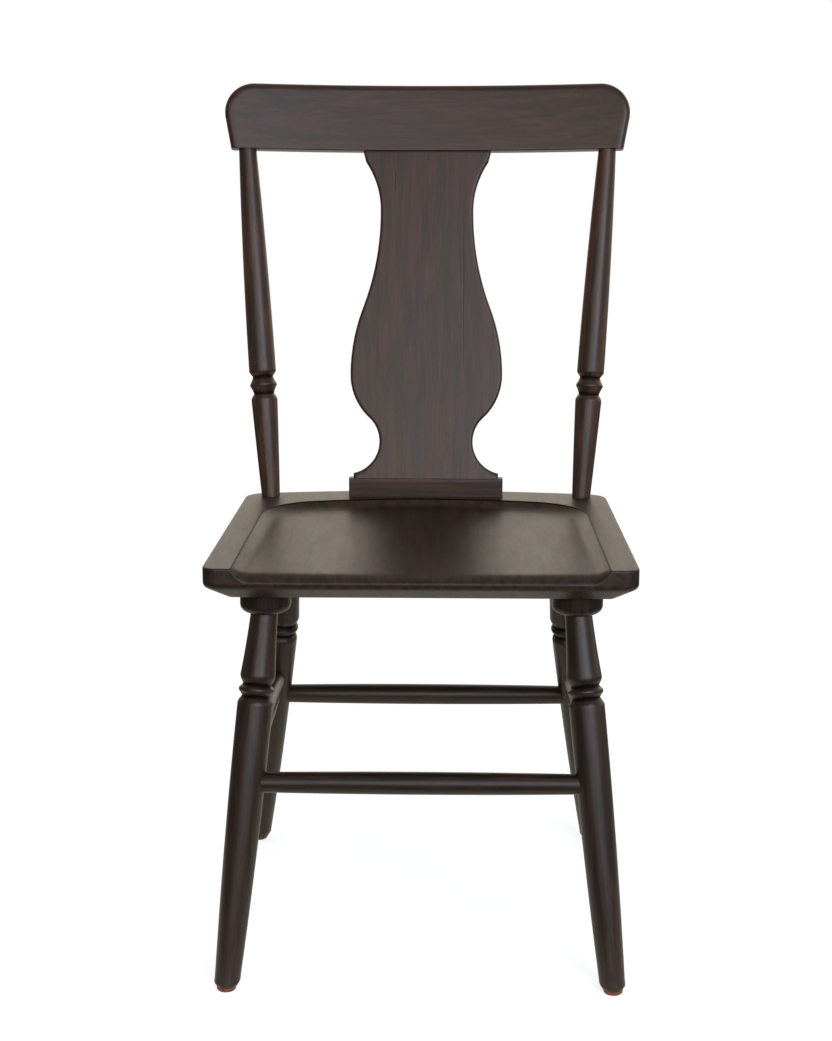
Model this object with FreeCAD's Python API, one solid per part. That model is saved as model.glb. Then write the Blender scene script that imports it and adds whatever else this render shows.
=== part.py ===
import FreeCAD, Part
import math
import os
from FreeCAD import Placement, Rotation, Vector

# A wooden side chair with turned legs and posts, a bent crest rail and an urn-shaped splat.
# Millimetres. The front faces -Y, +X is to the viewer's right, +Z is up, and the floor is z = 0.
# While it is being built, y = 0 is the seat's front edge; the whole chair is centred at the end.

# Seat board, measured on its flat rim
SEAT_HEIGHT = 454.7
SEAT_SLOPE = 1.15
SEAT_FRONT_WIDTH = 457.6
SEAT_SIDE_TAPER = 1.3
SEAT_DEPTH = 419.0
SEAT_REAR_ARC = 1050.0
SEAT_THICKNESS = 36.8
SEAT_EDGE_HEIGHT = 21.2
SEAT_BEVEL_WIDTH = 25.0
SEAT_FRONT_CORNER = 15.0
SEAT_REAR_CORNER = 26.0
SEAT_BEVEL_CORNER = 5.0
SEAT_TOP_ROUND = 2.0
SEAT_BELLY_ROUND = 12.0
SEAT_BOTTOM_ROUND = 5.0

# Scoop in the seat's top
RIM_WIDTH = 30.5
RIM_REAR_WIDTH = 51.0
SCOOP_REAR_ARC = 540.0
SCOOP_REAR_CORNER = 78.0
SCOOP_FRONT_CORNER = 4.0
SCOOP_DEPTH = 9.5
SCOOP_SIDE_DEPTH = 7.0
SCOOP_WALL_LEAN = 1.0
SCOOP_MIDDLE_SHARE = 0.55
LIP_LENGTH = 20.0
LIP_DROP = 14.8
LIP_RISE = 1.5
LIP_BEND_SHARE = 0.3
LIP_BEND_RISE = 0.68
LIP_FALL = 0.6

# Legs: where each axis meets the seat's underside, and how far it splays
FRONT_LEG_X = 166.0
FRONT_LEG_Y = 64.0
FRONT_LEG_OUT = 5.6
FRONT_LEG_FORWARD = 14.0
REAR_LEG_X = 156.0
REAR_LEG_Y = 257.0
REAR_LEG_OUT = 7.7
REAR_LEG_BACK = 16.7
LEG_NECK_RADIUS = 14.2
LEG_TENON_RADIUS = 11.0
LEG_TENON_DEPTH = 20.0
LEG_BODY_RADIUS = 19.2
LEG_FOOT_RADIUS = 13.9
LEG_FOOT_BEVEL = 6.0
LEG_FOOT_FLARE = 3.5
LEG_FOOT_LEDGE = 1.0
LEG_PLAIN_FOOT = 8.0
LEG_WASTE = 20.0
LEG_BARREL_SWELL = 0.78
LEG_VASE_RADIUS = 18.9
LEG_VASE_BEND = 0.55
LEG_VASE_SWELL = 0.47
LEG_NECK_LENGTH = 6.0
LEG_RING_DROP = 109.2
LEG_GROOVE_BELOW = 7.0
LEG_GROOVE_ABOVE = 6.3
LEG_GROOVE_RADIUS = 15.1
LEG_SHOULDER = 10.0
BOSS_RADIUS = 27.5
BOSS_HEIGHT = 23.5
BOSS_ROUND = 8.5

# Rings turned on the legs and posts: a crowned ridge between two grooves, each with a shoulder
RING_CROWN = 2.4
RING_CROWN_DROP = 0.8
RING_HOLLOW = 0.3
SHOULDER_START = 0.38
SHOULDER_START_RISE = 0.62
SHOULDER_BEND = 0.6
SHOULDER_BEND_RISE = 0.88

# Foot glides and their nails
GLIDE_RADIUS = 10.4
GLIDE_HEIGHT = 5.0
GLIDE_ROUND = 2.4
NAIL_RADIUS = 1.2
NAIL_HEAD_RADIUS = 4.0
NAIL_HEAD_HEIGHT = 1.2
NAIL_HEAD_Z = 2.0
NAIL_LENGTH = 16.0

# Stretchers between the legs
STRETCHER_RADIUS = 12.3
STRETCHER_END_RADIUS = 11.0
STRETCHER_SOCKET = 16.0
CROSS_STRETCHER_HEIGHT = 215.0
SIDE_STRETCHER_HEIGHT = 242.0

# Back posts
POST_X = 190.0
POST_Y = 385.0
POST_LEAN = 11.3
POST_SPLAY = 4.0
POST_LENGTH = 422.2
POST_FOOT_RADIUS = 11.1
POST_BODY_RADIUS = 16.4
POST_TOP_RADIUS = 10.6
POST_RING_HEIGHT = 135.5
POST_WAIST_RADIUS = 15.9
POST_FOOT_BEND = 0.6
POST_FOOT_SWELL = 0.66
POST_TOP_THINNING = 0.29
POST_GROOVE_BELOW = 10.9
POST_GROOVE_ABOVE = 10.1
POST_GROOVE_RADIUS = 12.2
POST_SHOULDER = 8.5
POST_TENON_DEPTH = 25.0
POST_FOOT_TENON_RADIUS = 8.5
POST_TOP_TENON_RADIUS = 7.0
POST_TOP_TENON_END = 6.0
POST_TOP_TENON_LENGTH = 36.0

# Crest rail, a bent board
CREST_WIDTH = 491.4
CREST_HEIGHT = 80.0
CREST_THICKNESS = 22.0
CREST_BOW = 23.0
CREST_CORNER = 36.0
CREST_END_TAPER = 10.5
CREST_FRONT_ROUND = 8.0
CREST_REAR_ROUND = 5.0
BRAD_RADIUS = 0.7
BRAD_LENGTH = 16.0
BRAD_HEIGHT = 18.0
BRAD_SINK = 1.0

# Splat and the shoe that it stands in
SPLAT_THICKNESS = 12.0
SPLAT_FOOT_HALF = 88.3
SPLAT_LOW_WAIST_HALF = 57.0
SPLAT_LOW_WAIST_HEIGHT = 44.0
SPLAT_LOW_WAIST_ARC = 39.7
SPLAT_BELLY_HALF = 92.8
SPLAT_BELLY_HEIGHT = 126.0
SPLAT_BELLY_ARC = 232.0
SPLAT_WAIST_HALF = 56.8
SPLAT_WAIST_HEIGHT = 324.0
SPLAT_NECK_ARC = 108.0
SPLAT_NECK_START = 327.0
SPLAT_KINK_HALF = 75.0
SPLAT_TOP_HALF = 78.3
SPLAT_EDGE_ROUND = 3.5
TONGUE_THICKNESS = 8.0
TONGUE_DEPTH = 12.0
TONGUE_INSET = 9.0
TONGUE_ROOT = 4.0
SHOE_WIDTH = 187.6
SHOE_HEIGHT = 22.4
SHOE_THICKNESS = 15.0
SHOE_FRONT_Y = 379.0
SHOE_ROUND = 1.5
SHOE_SCREW_X = 60.0
SCREW_RADIUS = 2.0
SCREW_HEAD_RADIUS = 4.2
SCREW_HEAD_HEIGHT = 3.0
SCREW_LENGTH = 36.0
SCREW_RECESS_Z = -28.0
SCREW_RECESS_ROOM = 1.0

# Room left round everything that is fitted into something else
FIT = 0.1
END_GAP = 0.6
PASS_THROUGH = 60.0
SLAB_SIZE = 2000.0
TINY = 0.01
SPLIT_TOLERANCE = 0.05

# A stretcher stops this far short of the legs' axes, so its end is buried by the socket's depth.
STRETCHER_END_GAP = LEG_BODY_RADIUS - STRETCHER_SOCKET

SIDES = {"left": -1.0, "right": 1.0}
SEAT_PLACE = Placement(Vector(0, 0, SEAT_HEIGHT), Rotation(Vector(1, 0, 0), -SEAT_SLOPE))


def radians(degrees):
    return math.radians(degrees)


def revolve(edges):
    """A solid of revolution about Z from edges in the XZ plane that start and end on the axis."""
    face = Part.Face(Part.Wire(edges))
    return face.revolve(Vector(0, 0, 0), Vector(0, 0, 1), 360)


class Profile:
    """Half the outline of a turned piece: radius against distance along its axis."""

    def __init__(self, distance):
        self.start = Vector(0, 0, distance)
        self.point = self.start
        self.edges = []

    def line(self, distance, radius):
        end = Vector(radius, 0, distance)
        self.edges.append(Part.makeLine(self.point, end))
        self.point = end

    def arc(self, middle_distance, middle_radius, distance, radius):
        middle = Vector(middle_radius, 0, middle_distance)
        end = Vector(radius, 0, distance)
        self.edges.append(Part.Arc(self.point, middle, end).toShape())
        self.point = end

    def solid(self):
        self.line(self.point.z, 0)
        self.edges.append(Part.makeLine(self.point, self.start))
        return revolve(self.edges)


def along(origin, direction):
    """The placement that carries +Z onto a direction and the origin onto a point."""
    return Placement(origin, Rotation(Vector(0, 0, 1), direction))


def placed(shape, place):
    moved = shape.copy()
    moved.Placement = place.multiply(shape.Placement)
    return moved


def cone(base, direction, base_radius, top_radius, length):
    if base_radius == top_radius:
        return Part.makeCylinder(base_radius, length, base, direction)
    return Part.makeCone(base_radius, top_radius, length, base, direction)


def slab_above(place, z):
    """A large block that fills everything above a height in a placed frame."""
    corner = Vector(-SLAB_SIZE / 2, -SLAB_SIZE / 2, z)
    block = Part.makeBox(SLAB_SIZE, SLAB_SIZE, SLAB_SIZE, corner)
    return placed(block, place)


def outer_edges(shape, test):
    return [edge for edge in shape.Edges if test(edge.BoundBox)]


# Seat


def plan_wire(z, inset, front_y, rear_y, rear_arc, front_corner, rear_corner):
    """The seat's plan at one height: a straight front, tapering sides and an arched rear."""
    taper = radians(SEAT_SIDE_TAPER)
    side = Vector(-math.sin(taper), math.cos(taper), 0)
    inward = Vector(-math.cos(taper), -math.sin(taper), 0)
    start = Vector(SEAT_FRONT_WIDTH / 2, 0, 0) + inward * inset
    front_centre = start + inward * front_corner
    front_centre += side * ((front_y + front_corner - front_centre.y) / side.y)
    arc_centre = Vector(0, rear_y - rear_arc, 0)
    offset = start + inward * rear_corner - arc_centre
    reach = rear_arc - rear_corner
    along_side = offset.dot(side)
    travel = -along_side + math.sqrt(along_side ** 2 - offset.dot(offset) + reach ** 2)
    rear_centre = start + inward * rear_corner + side * travel
    outward = (rear_centre - arc_centre).normalize()
    front_point = front_centre + Vector(0, -front_corner, 0)
    front_middle = front_centre + (Vector(0, -1, 0) - inward).normalize() * front_corner
    side_low = front_centre - inward * front_corner
    side_high = rear_centre - inward * rear_corner
    rear_middle = rear_centre + (outward - inward).normalize() * rear_corner
    rear_point = rear_centre + outward * rear_corner
    rear_top = Vector(0, rear_y, 0)

    def at(point, mirror=1.0):
        return Vector(point.x * mirror, point.y, z)

    edges = [Part.makeLine(at(front_point, -1), at(front_point))]
    edges.append(Part.Arc(at(front_point), at(front_middle), at(side_low)).toShape())
    edges.append(Part.makeLine(at(side_low), at(side_high)))
    edges.append(Part.Arc(at(side_high), at(rear_middle), at(rear_point)).toShape())
    edges.append(Part.Arc(at(rear_point), at(rear_top), at(rear_point, -1)).toShape())
    edges.append(Part.Arc(at(rear_point, -1), at(rear_middle, -1), at(side_high, -1)).toShape())
    edges.append(Part.makeLine(at(side_high, -1), at(side_low, -1)))
    edges.append(Part.Arc(at(side_low, -1), at(front_middle, -1), at(front_point, -1)).toShape())
    return Part.Wire(edges)


def seat_outline(z, inset, front_corner, rear_corner):
    rear_arc = SEAT_REAR_ARC - inset
    return plan_wire(z, inset, inset, SEAT_DEPTH - inset, rear_arc, front_corner, rear_corner)


def seat_blank():
    top = seat_outline(0, 0, SEAT_FRONT_CORNER, SEAT_REAR_CORNER)
    waist = seat_outline(-SEAT_EDGE_HEIGHT, 0, SEAT_FRONT_CORNER, SEAT_REAR_CORNER)
    bottom = seat_outline(-SEAT_THICKNESS, SEAT_BEVEL_WIDTH, SEAT_BEVEL_CORNER, SEAT_BEVEL_CORNER)
    blank = Part.makeLoft([top, waist, bottom], True, True)

    def level(z):
        return outer_edges(blank, lambda box: abs(box.ZMin - z) < TINY and abs(box.ZMax - z) < TINY)

    blank = blank.makeFillet(SEAT_BELLY_ROUND, level(-SEAT_EDGE_HEIGHT))
    blank = blank.makeFillet(SEAT_BOTTOM_ROUND, level(-SEAT_THICKNESS))
    return blank.makeFillet(SEAT_TOP_ROUND, level(0))


def scoop_section(x, floor_depth):
    """The scoop from front to back at one x: the rolled front lip, then the hollowed floor."""
    lip_depth = floor_depth - LIP_RISE
    front = -SEAT_BEVEL_WIDTH
    rear = SEAT_DEPTH
    ceiling = 2 * SCOOP_DEPTH
    low = Vector(x, front, -LIP_DROP - LIP_FALL * SEAT_BEVEL_WIDTH)
    edge = Vector(x, 0, -LIP_DROP)
    roll = Vector(x, LIP_BEND_SHARE * LIP_LENGTH, -LIP_DROP + LIP_BEND_RISE * (LIP_DROP - lip_depth))
    lip = Vector(x, LIP_LENGTH, -lip_depth)
    floor = Vector(x, SCOOP_MIDDLE_SHARE * SEAT_DEPTH, -floor_depth)
    back = Vector(x, rear, -lip_depth)
    edges = [Part.makeLine(low, edge)]
    edges.append(Part.Arc(edge, roll, lip).toShape())
    edges.append(Part.Arc(lip, floor, back).toShape())
    edges.append(Part.makeLine(back, Vector(x, rear, ceiling)))
    edges.append(Part.makeLine(Vector(x, rear, ceiling), Vector(x, front, ceiling)))
    edges.append(Part.makeLine(Vector(x, front, ceiling), low))
    return Part.Wire(edges)


def scoop_cutter():
    """The hollow: sloping walls round the rim's inner line, over the curved floor."""
    front_y = -SEAT_BEVEL_WIDTH
    rear_y = SEAT_DEPTH - RIM_REAR_WIDTH
    top_z = SCOOP_DEPTH
    low_z = -LIP_DROP - SCOOP_DEPTH
    walls = []
    for z in (top_z, low_z):
        lean = -z * SCOOP_WALL_LEAN
        wire = plan_wire(z, RIM_WIDTH + lean, front_y, rear_y - lean, SCOOP_REAR_ARC - lean,
                         SCOOP_FRONT_CORNER, SCOOP_REAR_CORNER - lean)
        walls.append(wire)
    prism = Part.makeLoft(walls, True, True)
    half = SEAT_FRONT_WIDTH / 2
    sections = [scoop_section(-half, SCOOP_SIDE_DEPTH)]
    sections.append(scoop_section(0, SCOOP_DEPTH))
    sections.append(scoop_section(half, SCOOP_SIDE_DEPTH))
    hollow = Part.makeLoft(sections, True, False)
    return prism.common(hollow)


def seat(sockets):
    board = seat_blank().cut(scoop_cutter())
    board = placed(board, SEAT_PLACE)
    return board.cut(sockets)


# Rings


def shoulder_points(ring, side, groove, shoulder, groove_radius, body_radius):
    """From a groove out to the body: the groove, where the round starts, its middle and its end."""
    depth = body_radius - groove_radius
    start = ring + side * (groove + SHOULDER_START * shoulder)
    bend = ring + side * (groove + SHOULDER_BEND * shoulder)
    return [(ring + side * groove, groove_radius),
            (start, groove_radius + SHOULDER_START_RISE * depth),
            (bend, groove_radius + SHOULDER_BEND_RISE * depth),
            (ring + side * (groove + shoulder), body_radius)]


def turn_ring(profile, ring, crown_radius, lower, upper):
    """Goes on from the lower shoulder's end, down into a groove, over the ridge and up again."""
    profile.arc(*lower[2], *lower[1])
    profile.line(*lower[0])
    edge_radius = crown_radius - RING_CROWN_DROP
    hollow_radius = (lower[0][1] + edge_radius) / 2 - RING_HOLLOW
    profile.arc((lower[0][0] + ring - RING_CROWN) / 2, hollow_radius, ring - RING_CROWN, edge_radius)
    profile.arc(ring, crown_radius, ring + RING_CROWN, edge_radius)
    profile.arc((upper[0][0] + ring + RING_CROWN) / 2, hollow_radius, *upper[0])
    profile.line(*upper[1])
    profile.arc(*upper[2], *upper[3])


# Legs and the bosses that they stand in


class Leg:
    """One leg's axis: its point on the seat's underside and its unit direction upwards."""

    def __init__(self, side, x, y, out, fore):
        self.top = SEAT_PLACE.multVec(Vector(side * x, y, -SEAT_THICKNESS))
        run_out = -side * math.tan(radians(out))
        run_fore = math.tan(radians(fore))
        self.up = Vector(run_out, run_fore, 1).normalize()

    def at_height(self, z):
        return self.top + self.up * ((z - self.top.z) / self.up.z)

    def length(self):
        return self.top.z / self.up.z

    def boss_centre(self):
        """The boss's middle, in the seat's own frame, where the leg's axis crosses it."""
        down = SEAT_PLACE.Rotation.inverted().multVec(self.up)
        start = SEAT_PLACE.inverse().multVec(self.top)
        return start - down * (BOSS_HEIGHT / 2 / down.z)

    def socket(self):
        """The tapered hole through the boss and up into the seat."""
        start = self.top - self.up * (2 * BOSS_HEIGHT)
        base_radius = self.tenon_radius(-2 * BOSS_HEIGHT) + FIT
        end_radius = self.tenon_radius(LEG_TENON_DEPTH + END_GAP) + FIT
        length = 2 * BOSS_HEIGHT + LEG_TENON_DEPTH + END_GAP
        return cone(start, self.up, base_radius, end_radius, length)

    @staticmethod
    def tenon_radius(above_seat):
        """The leg's radius near its top, by distance above the seat's underside."""
        slope = (LEG_NECK_RADIUS - LEG_TENON_RADIUS) / (BOSS_HEIGHT + LEG_TENON_DEPTH)
        return LEG_TENON_RADIUS + slope * (LEG_TENON_DEPTH - above_seat)


def leg_solid(leg):
    """A turned leg: barrel, ring between two grooves, vase, and the tapered tenon at its top."""
    length = leg.length()
    ring = length - LEG_RING_DROP
    lower = shoulder_points(ring, -1, LEG_GROOVE_BELOW, LEG_SHOULDER, LEG_GROOVE_RADIUS, LEG_BODY_RADIUS)
    upper = shoulder_points(ring, 1, LEG_GROOVE_ABOVE, LEG_SHOULDER, LEG_GROOVE_RADIUS, LEG_VASE_RADIUS)
    profile = Profile(-LEG_WASTE)
    profile.line(-LEG_WASTE, LEG_FOOT_RADIUS)
    profile.line(LEG_PLAIN_FOOT, LEG_FOOT_RADIUS)
    swell = LEG_FOOT_RADIUS + LEG_BARREL_SWELL * (LEG_BODY_RADIUS - LEG_FOOT_RADIUS)
    profile.arc((LEG_PLAIN_FOOT + lower[3][0]) / 2, swell, *lower[3])
    turn_ring(profile, ring, LEG_BODY_RADIUS, lower, upper)
    neck = length - BOSS_HEIGHT - LEG_NECK_LENGTH
    bend = ring + LEG_VASE_BEND * (neck - ring)
    bend_radius = LEG_NECK_RADIUS + LEG_VASE_SWELL * (LEG_BODY_RADIUS - LEG_NECK_RADIUS)
    profile.arc(bend, bend_radius, neck, Leg.tenon_radius(-BOSS_HEIGHT - LEG_NECK_LENGTH))
    profile.line(length + LEG_TENON_DEPTH, LEG_TENON_RADIUS)
    blank = placed(profile.solid(), along(leg.at_height(0), leg.up))
    return blank.cut(foot_trim(leg))


def foot_trim(leg):
    """What is sawn off level under a foot, and the collar that bevels the foot's edge."""
    foot = leg.at_height(GLIDE_HEIGHT)
    up = Vector(0, 0, 1)
    collar = Part.makeCylinder(3 * LEG_FOOT_RADIUS, LEG_FOOT_BEVEL, foot)
    rest = GLIDE_RADIUS + LEG_FOOT_LEDGE
    kept = Part.makeCone(rest, rest + LEG_FOOT_FLARE, LEG_FOOT_BEVEL, foot, up)
    depth = 2 * LEG_WASTE
    waste = Part.makeCylinder(3 * LEG_FOOT_RADIUS, depth, foot - up * depth)
    return collar.cut(kept).fuse(waste)


def boss_solid(leg):
    """A turned disc glued under the seat, bored for the leg, with its lower edge rounded."""
    profile = Profile(-BOSS_HEIGHT / 2)
    profile.line(-BOSS_HEIGHT / 2, BOSS_RADIUS - BOSS_ROUND)
    corner = BOSS_ROUND * (1 - math.sqrt(0.5))
    profile.arc(-BOSS_HEIGHT / 2 + corner, BOSS_RADIUS - corner,
                -BOSS_HEIGHT / 2 + BOSS_ROUND, BOSS_RADIUS)
    profile.line(BOSS_HEIGHT / 2, BOSS_RADIUS)
    disc = placed(profile.solid(), Placement(leg.boss_centre(), Rotation()))
    return placed(disc, SEAT_PLACE).cut(leg.socket())


def glide_solid(leg, nail):
    """A level plastic disc under the foot, moulded round its nail's head."""
    disc = Part.makeCylinder(GLIDE_RADIUS, GLIDE_HEIGHT, leg.at_height(0))
    rounded = disc.makeFillet(GLIDE_ROUND, outer_edges(disc, lambda box: box.ZMax < TINY))
    return rounded.cut(nail)


def nail_solid(leg, room=0.0):
    """A glide's nail, with its head inside the glide and its shank up in the leg."""
    foot = leg.at_height(0)
    base = foot + Vector(0, 0, NAIL_HEAD_Z)
    head = Part.makeCylinder(NAIL_HEAD_RADIUS + room, NAIL_HEAD_HEIGHT + 2 * room, base - Vector(0, 0, room))
    shank = Part.makeCylinder(NAIL_RADIUS + room, NAIL_LENGTH + room, base)
    return head.fuse(shank).removeSplitter()


def stretcher_solid(start, end):
    """A round rail with a gentle swell, whose plain ends are glued into the legs."""
    span = end - start
    length = span.Length - 2 * STRETCHER_END_GAP
    first = STRETCHER_SOCKET
    profile = Profile(0)
    profile.line(0, STRETCHER_END_RADIUS)
    profile.line(first, STRETCHER_END_RADIUS)
    profile.arc(length / 2, STRETCHER_RADIUS, length - first, STRETCHER_END_RADIUS)
    profile.line(length, STRETCHER_END_RADIUS)
    return placed(profile.solid(), along(start + span.normalize() * STRETCHER_END_GAP, span))


def stretcher_socket(leg, other, height):
    """The hole in one leg for a stretcher that runs level to another leg."""
    start = leg.at_height(height)
    direction = (other.at_height(height) - start).normalize()
    inner = start + direction * (STRETCHER_END_GAP - END_GAP)
    return Part.makeCylinder(STRETCHER_END_RADIUS + FIT, PASS_THROUGH, inner, direction)


# Back


class Post:
    """One back post's axis, from its foot on the seat's rim to the crest rail's underside."""

    def __init__(self, side):
        self.foot = SEAT_PLACE.multVec(Vector(side * POST_X, POST_Y, 0))
        run_out = side * math.tan(radians(POST_SPLAY))
        self.up = Vector(run_out, math.tan(radians(POST_LEAN)), 1).normalize()
        self.head = self.foot + self.up * POST_LENGTH

    def foot_socket(self):
        slope = (POST_FOOT_RADIUS - POST_FOOT_TENON_RADIUS) / POST_TENON_DEPTH
        above = POST_FOOT_RADIUS
        depth = POST_TENON_DEPTH + END_GAP
        top_radius = POST_FOOT_RADIUS + slope * above + FIT
        end_radius = POST_FOOT_RADIUS - slope * depth + FIT
        return cone(self.foot - self.up * depth, self.up, end_radius, top_radius, depth + above)

    def head_socket(self):
        below = POST_TOP_RADIUS
        taper = (POST_TOP_TENON_RADIUS - POST_TOP_TENON_END) / (POST_TOP_TENON_LENGTH + below)
        low_radius = POST_TOP_TENON_RADIUS + FIT
        end_radius = POST_TOP_TENON_END - taper * END_GAP + FIT
        length = below + POST_TOP_TENON_LENGTH + END_GAP
        return cone(self.head - self.up * below, self.up, low_radius, end_radius, length)


def post_solid(post):
    """A turned back post: a taper, a ring between two grooves, and a long upper taper."""
    ring = POST_RING_HEIGHT
    lower = shoulder_points(ring, -1, POST_GROOVE_BELOW, POST_SHOULDER, POST_GROOVE_RADIUS, POST_WAIST_RADIUS)
    upper = shoulder_points(ring, 1, POST_GROOVE_ABOVE, POST_SHOULDER, POST_GROOVE_RADIUS, POST_BODY_RADIUS)
    profile = Profile(-POST_TENON_DEPTH)
    profile.line(-POST_TENON_DEPTH, POST_FOOT_TENON_RADIUS)
    profile.line(0, POST_FOOT_RADIUS)
    swell = POST_FOOT_RADIUS + POST_FOOT_SWELL * (POST_BODY_RADIUS - POST_FOOT_RADIUS)
    profile.arc(POST_FOOT_BEND * ring, swell, *lower[3])
    turn_ring(profile, ring, POST_BODY_RADIUS, lower, upper)
    thinned = POST_BODY_RADIUS - POST_TOP_THINNING * (POST_BODY_RADIUS - POST_TOP_RADIUS)
    profile.arc((upper[3][0] + POST_LENGTH) / 2, thinned, POST_LENGTH, POST_TOP_RADIUS)
    profile.line(POST_LENGTH + POST_TOP_RADIUS, POST_TOP_RADIUS)
    shaft = placed(profile.solid(), along(post.foot, post.up))
    shaft = shaft.cut(slab_above(crest_place(post), 0))
    overlap = POST_TOP_RADIUS
    tenon = cone(post.head - post.up * overlap, post.up, POST_TOP_TENON_RADIUS, POST_TOP_TENON_END,
                 POST_TOP_TENON_LENGTH + overlap)
    return shaft.fuse(tenon).removeSplitter()


def crest_arc():
    """The radius of the crest rail's middle line, from its bow over its width."""
    half = CREST_WIDTH / 2
    return (half ** 2 + CREST_BOW ** 2) / (2 * CREST_BOW)


def crest_place(post):
    """The crest rail's frame: its underside at z = 0, and the posts' heads on y = 0."""
    origin = Vector(0, post.head.y, post.head.z)
    return Placement(origin, Rotation(Vector(1, 0, 0), -POST_LEAN))


def crest_middle(post):
    """How far the rail's middle stands behind the posts' heads, in the rail's frame."""
    radius = crest_arc()
    return radius - math.sqrt(radius ** 2 - post.head.x ** 2)


def crest_outline():
    """The rail's front view: flat bottom, ends that taper inwards going down, round shoulders."""
    taper = radians(CREST_END_TAPER)
    centre = Vector(CREST_WIDTH / 2 - CREST_CORNER, 0, CREST_HEIGHT - CREST_CORNER)
    tangent = centre + Vector(math.cos(taper), 0, -math.sin(taper)) * CREST_CORNER
    bottom = Vector(tangent.x - tangent.z * math.tan(taper), 0, 0)
    bend = (math.pi / 2 - taper) / 2
    middle = centre + Vector(math.cos(bend), 0, math.sin(bend)) * CREST_CORNER
    top = centre + Vector(0, 0, CREST_CORNER)

    def mirror(point):
        return Vector(-point.x, 0, point.z)

    edges = [Part.makeLine(mirror(bottom), bottom)]
    edges.append(Part.makeLine(bottom, tangent))
    edges.append(Part.Arc(tangent, middle, top).toShape())
    edges.append(Part.makeLine(top, mirror(top)))
    edges.append(Part.Arc(mirror(top), mirror(middle), mirror(tangent)).toShape())
    edges.append(Part.makeLine(mirror(tangent), mirror(bottom)))
    return Part.Wire(edges)


def crest_solid(post, sockets):
    radius = crest_arc()
    centre = Vector(0, crest_middle(post) - radius, 0)
    ring = Part.makeCylinder(radius + CREST_THICKNESS / 2, CREST_HEIGHT, centre)
    ring = ring.cut(Part.makeCylinder(radius - CREST_THICKNESS / 2, CREST_HEIGHT, centre))
    reach = 4 * CREST_BOW + CREST_THICKNESS
    prism = Part.Face(crest_outline()).extrude(Vector(0, 2 * reach, 0))
    prism.translate(Vector(0, -reach, 0))
    rail = ring.common(prism)

    def edges_on(face_radius):
        """The face's edges, but for the crisp one along the rail's underside."""
        found = []
        for edge in rail.Edges:
            middle = edge.valueAt((edge.FirstParameter + edge.LastParameter) / 2)
            away = math.hypot(middle.x - centre.x, middle.y - centre.y)
            if abs(away - face_radius) < SPLIT_TOLERANCE and edge.BoundBox.ZMax > TINY:
                found.append(edge)
        return found

    rail = rail.makeFillet(CREST_FRONT_ROUND, edges_on(radius - CREST_THICKNESS / 2))
    rail = rail.makeFillet(CREST_REAR_ROUND, edges_on(radius + CREST_THICKNESS / 2))
    return placed(rail, crest_place(post)).cut(sockets)


def brad_solid(post, room=0.0):
    """A fine nail driven from the rail's back into the post's tenon."""
    place = crest_place(post)
    seat_point = post.head + post.up * BRAD_HEIGHT
    inward = place.Rotation.multVec(Vector(0, -1, 0))
    radius = crest_arc() + CREST_THICKNESS / 2
    local = place.inverse().multVec(seat_point)
    back = crest_middle(post) - crest_arc() + math.sqrt(radius ** 2 - local.x ** 2)
    start = place.multVec(Vector(local.x, back - BRAD_SINK, local.z))
    return Part.makeCylinder(BRAD_RADIUS + room, BRAD_LENGTH + room, start, inward)


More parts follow.
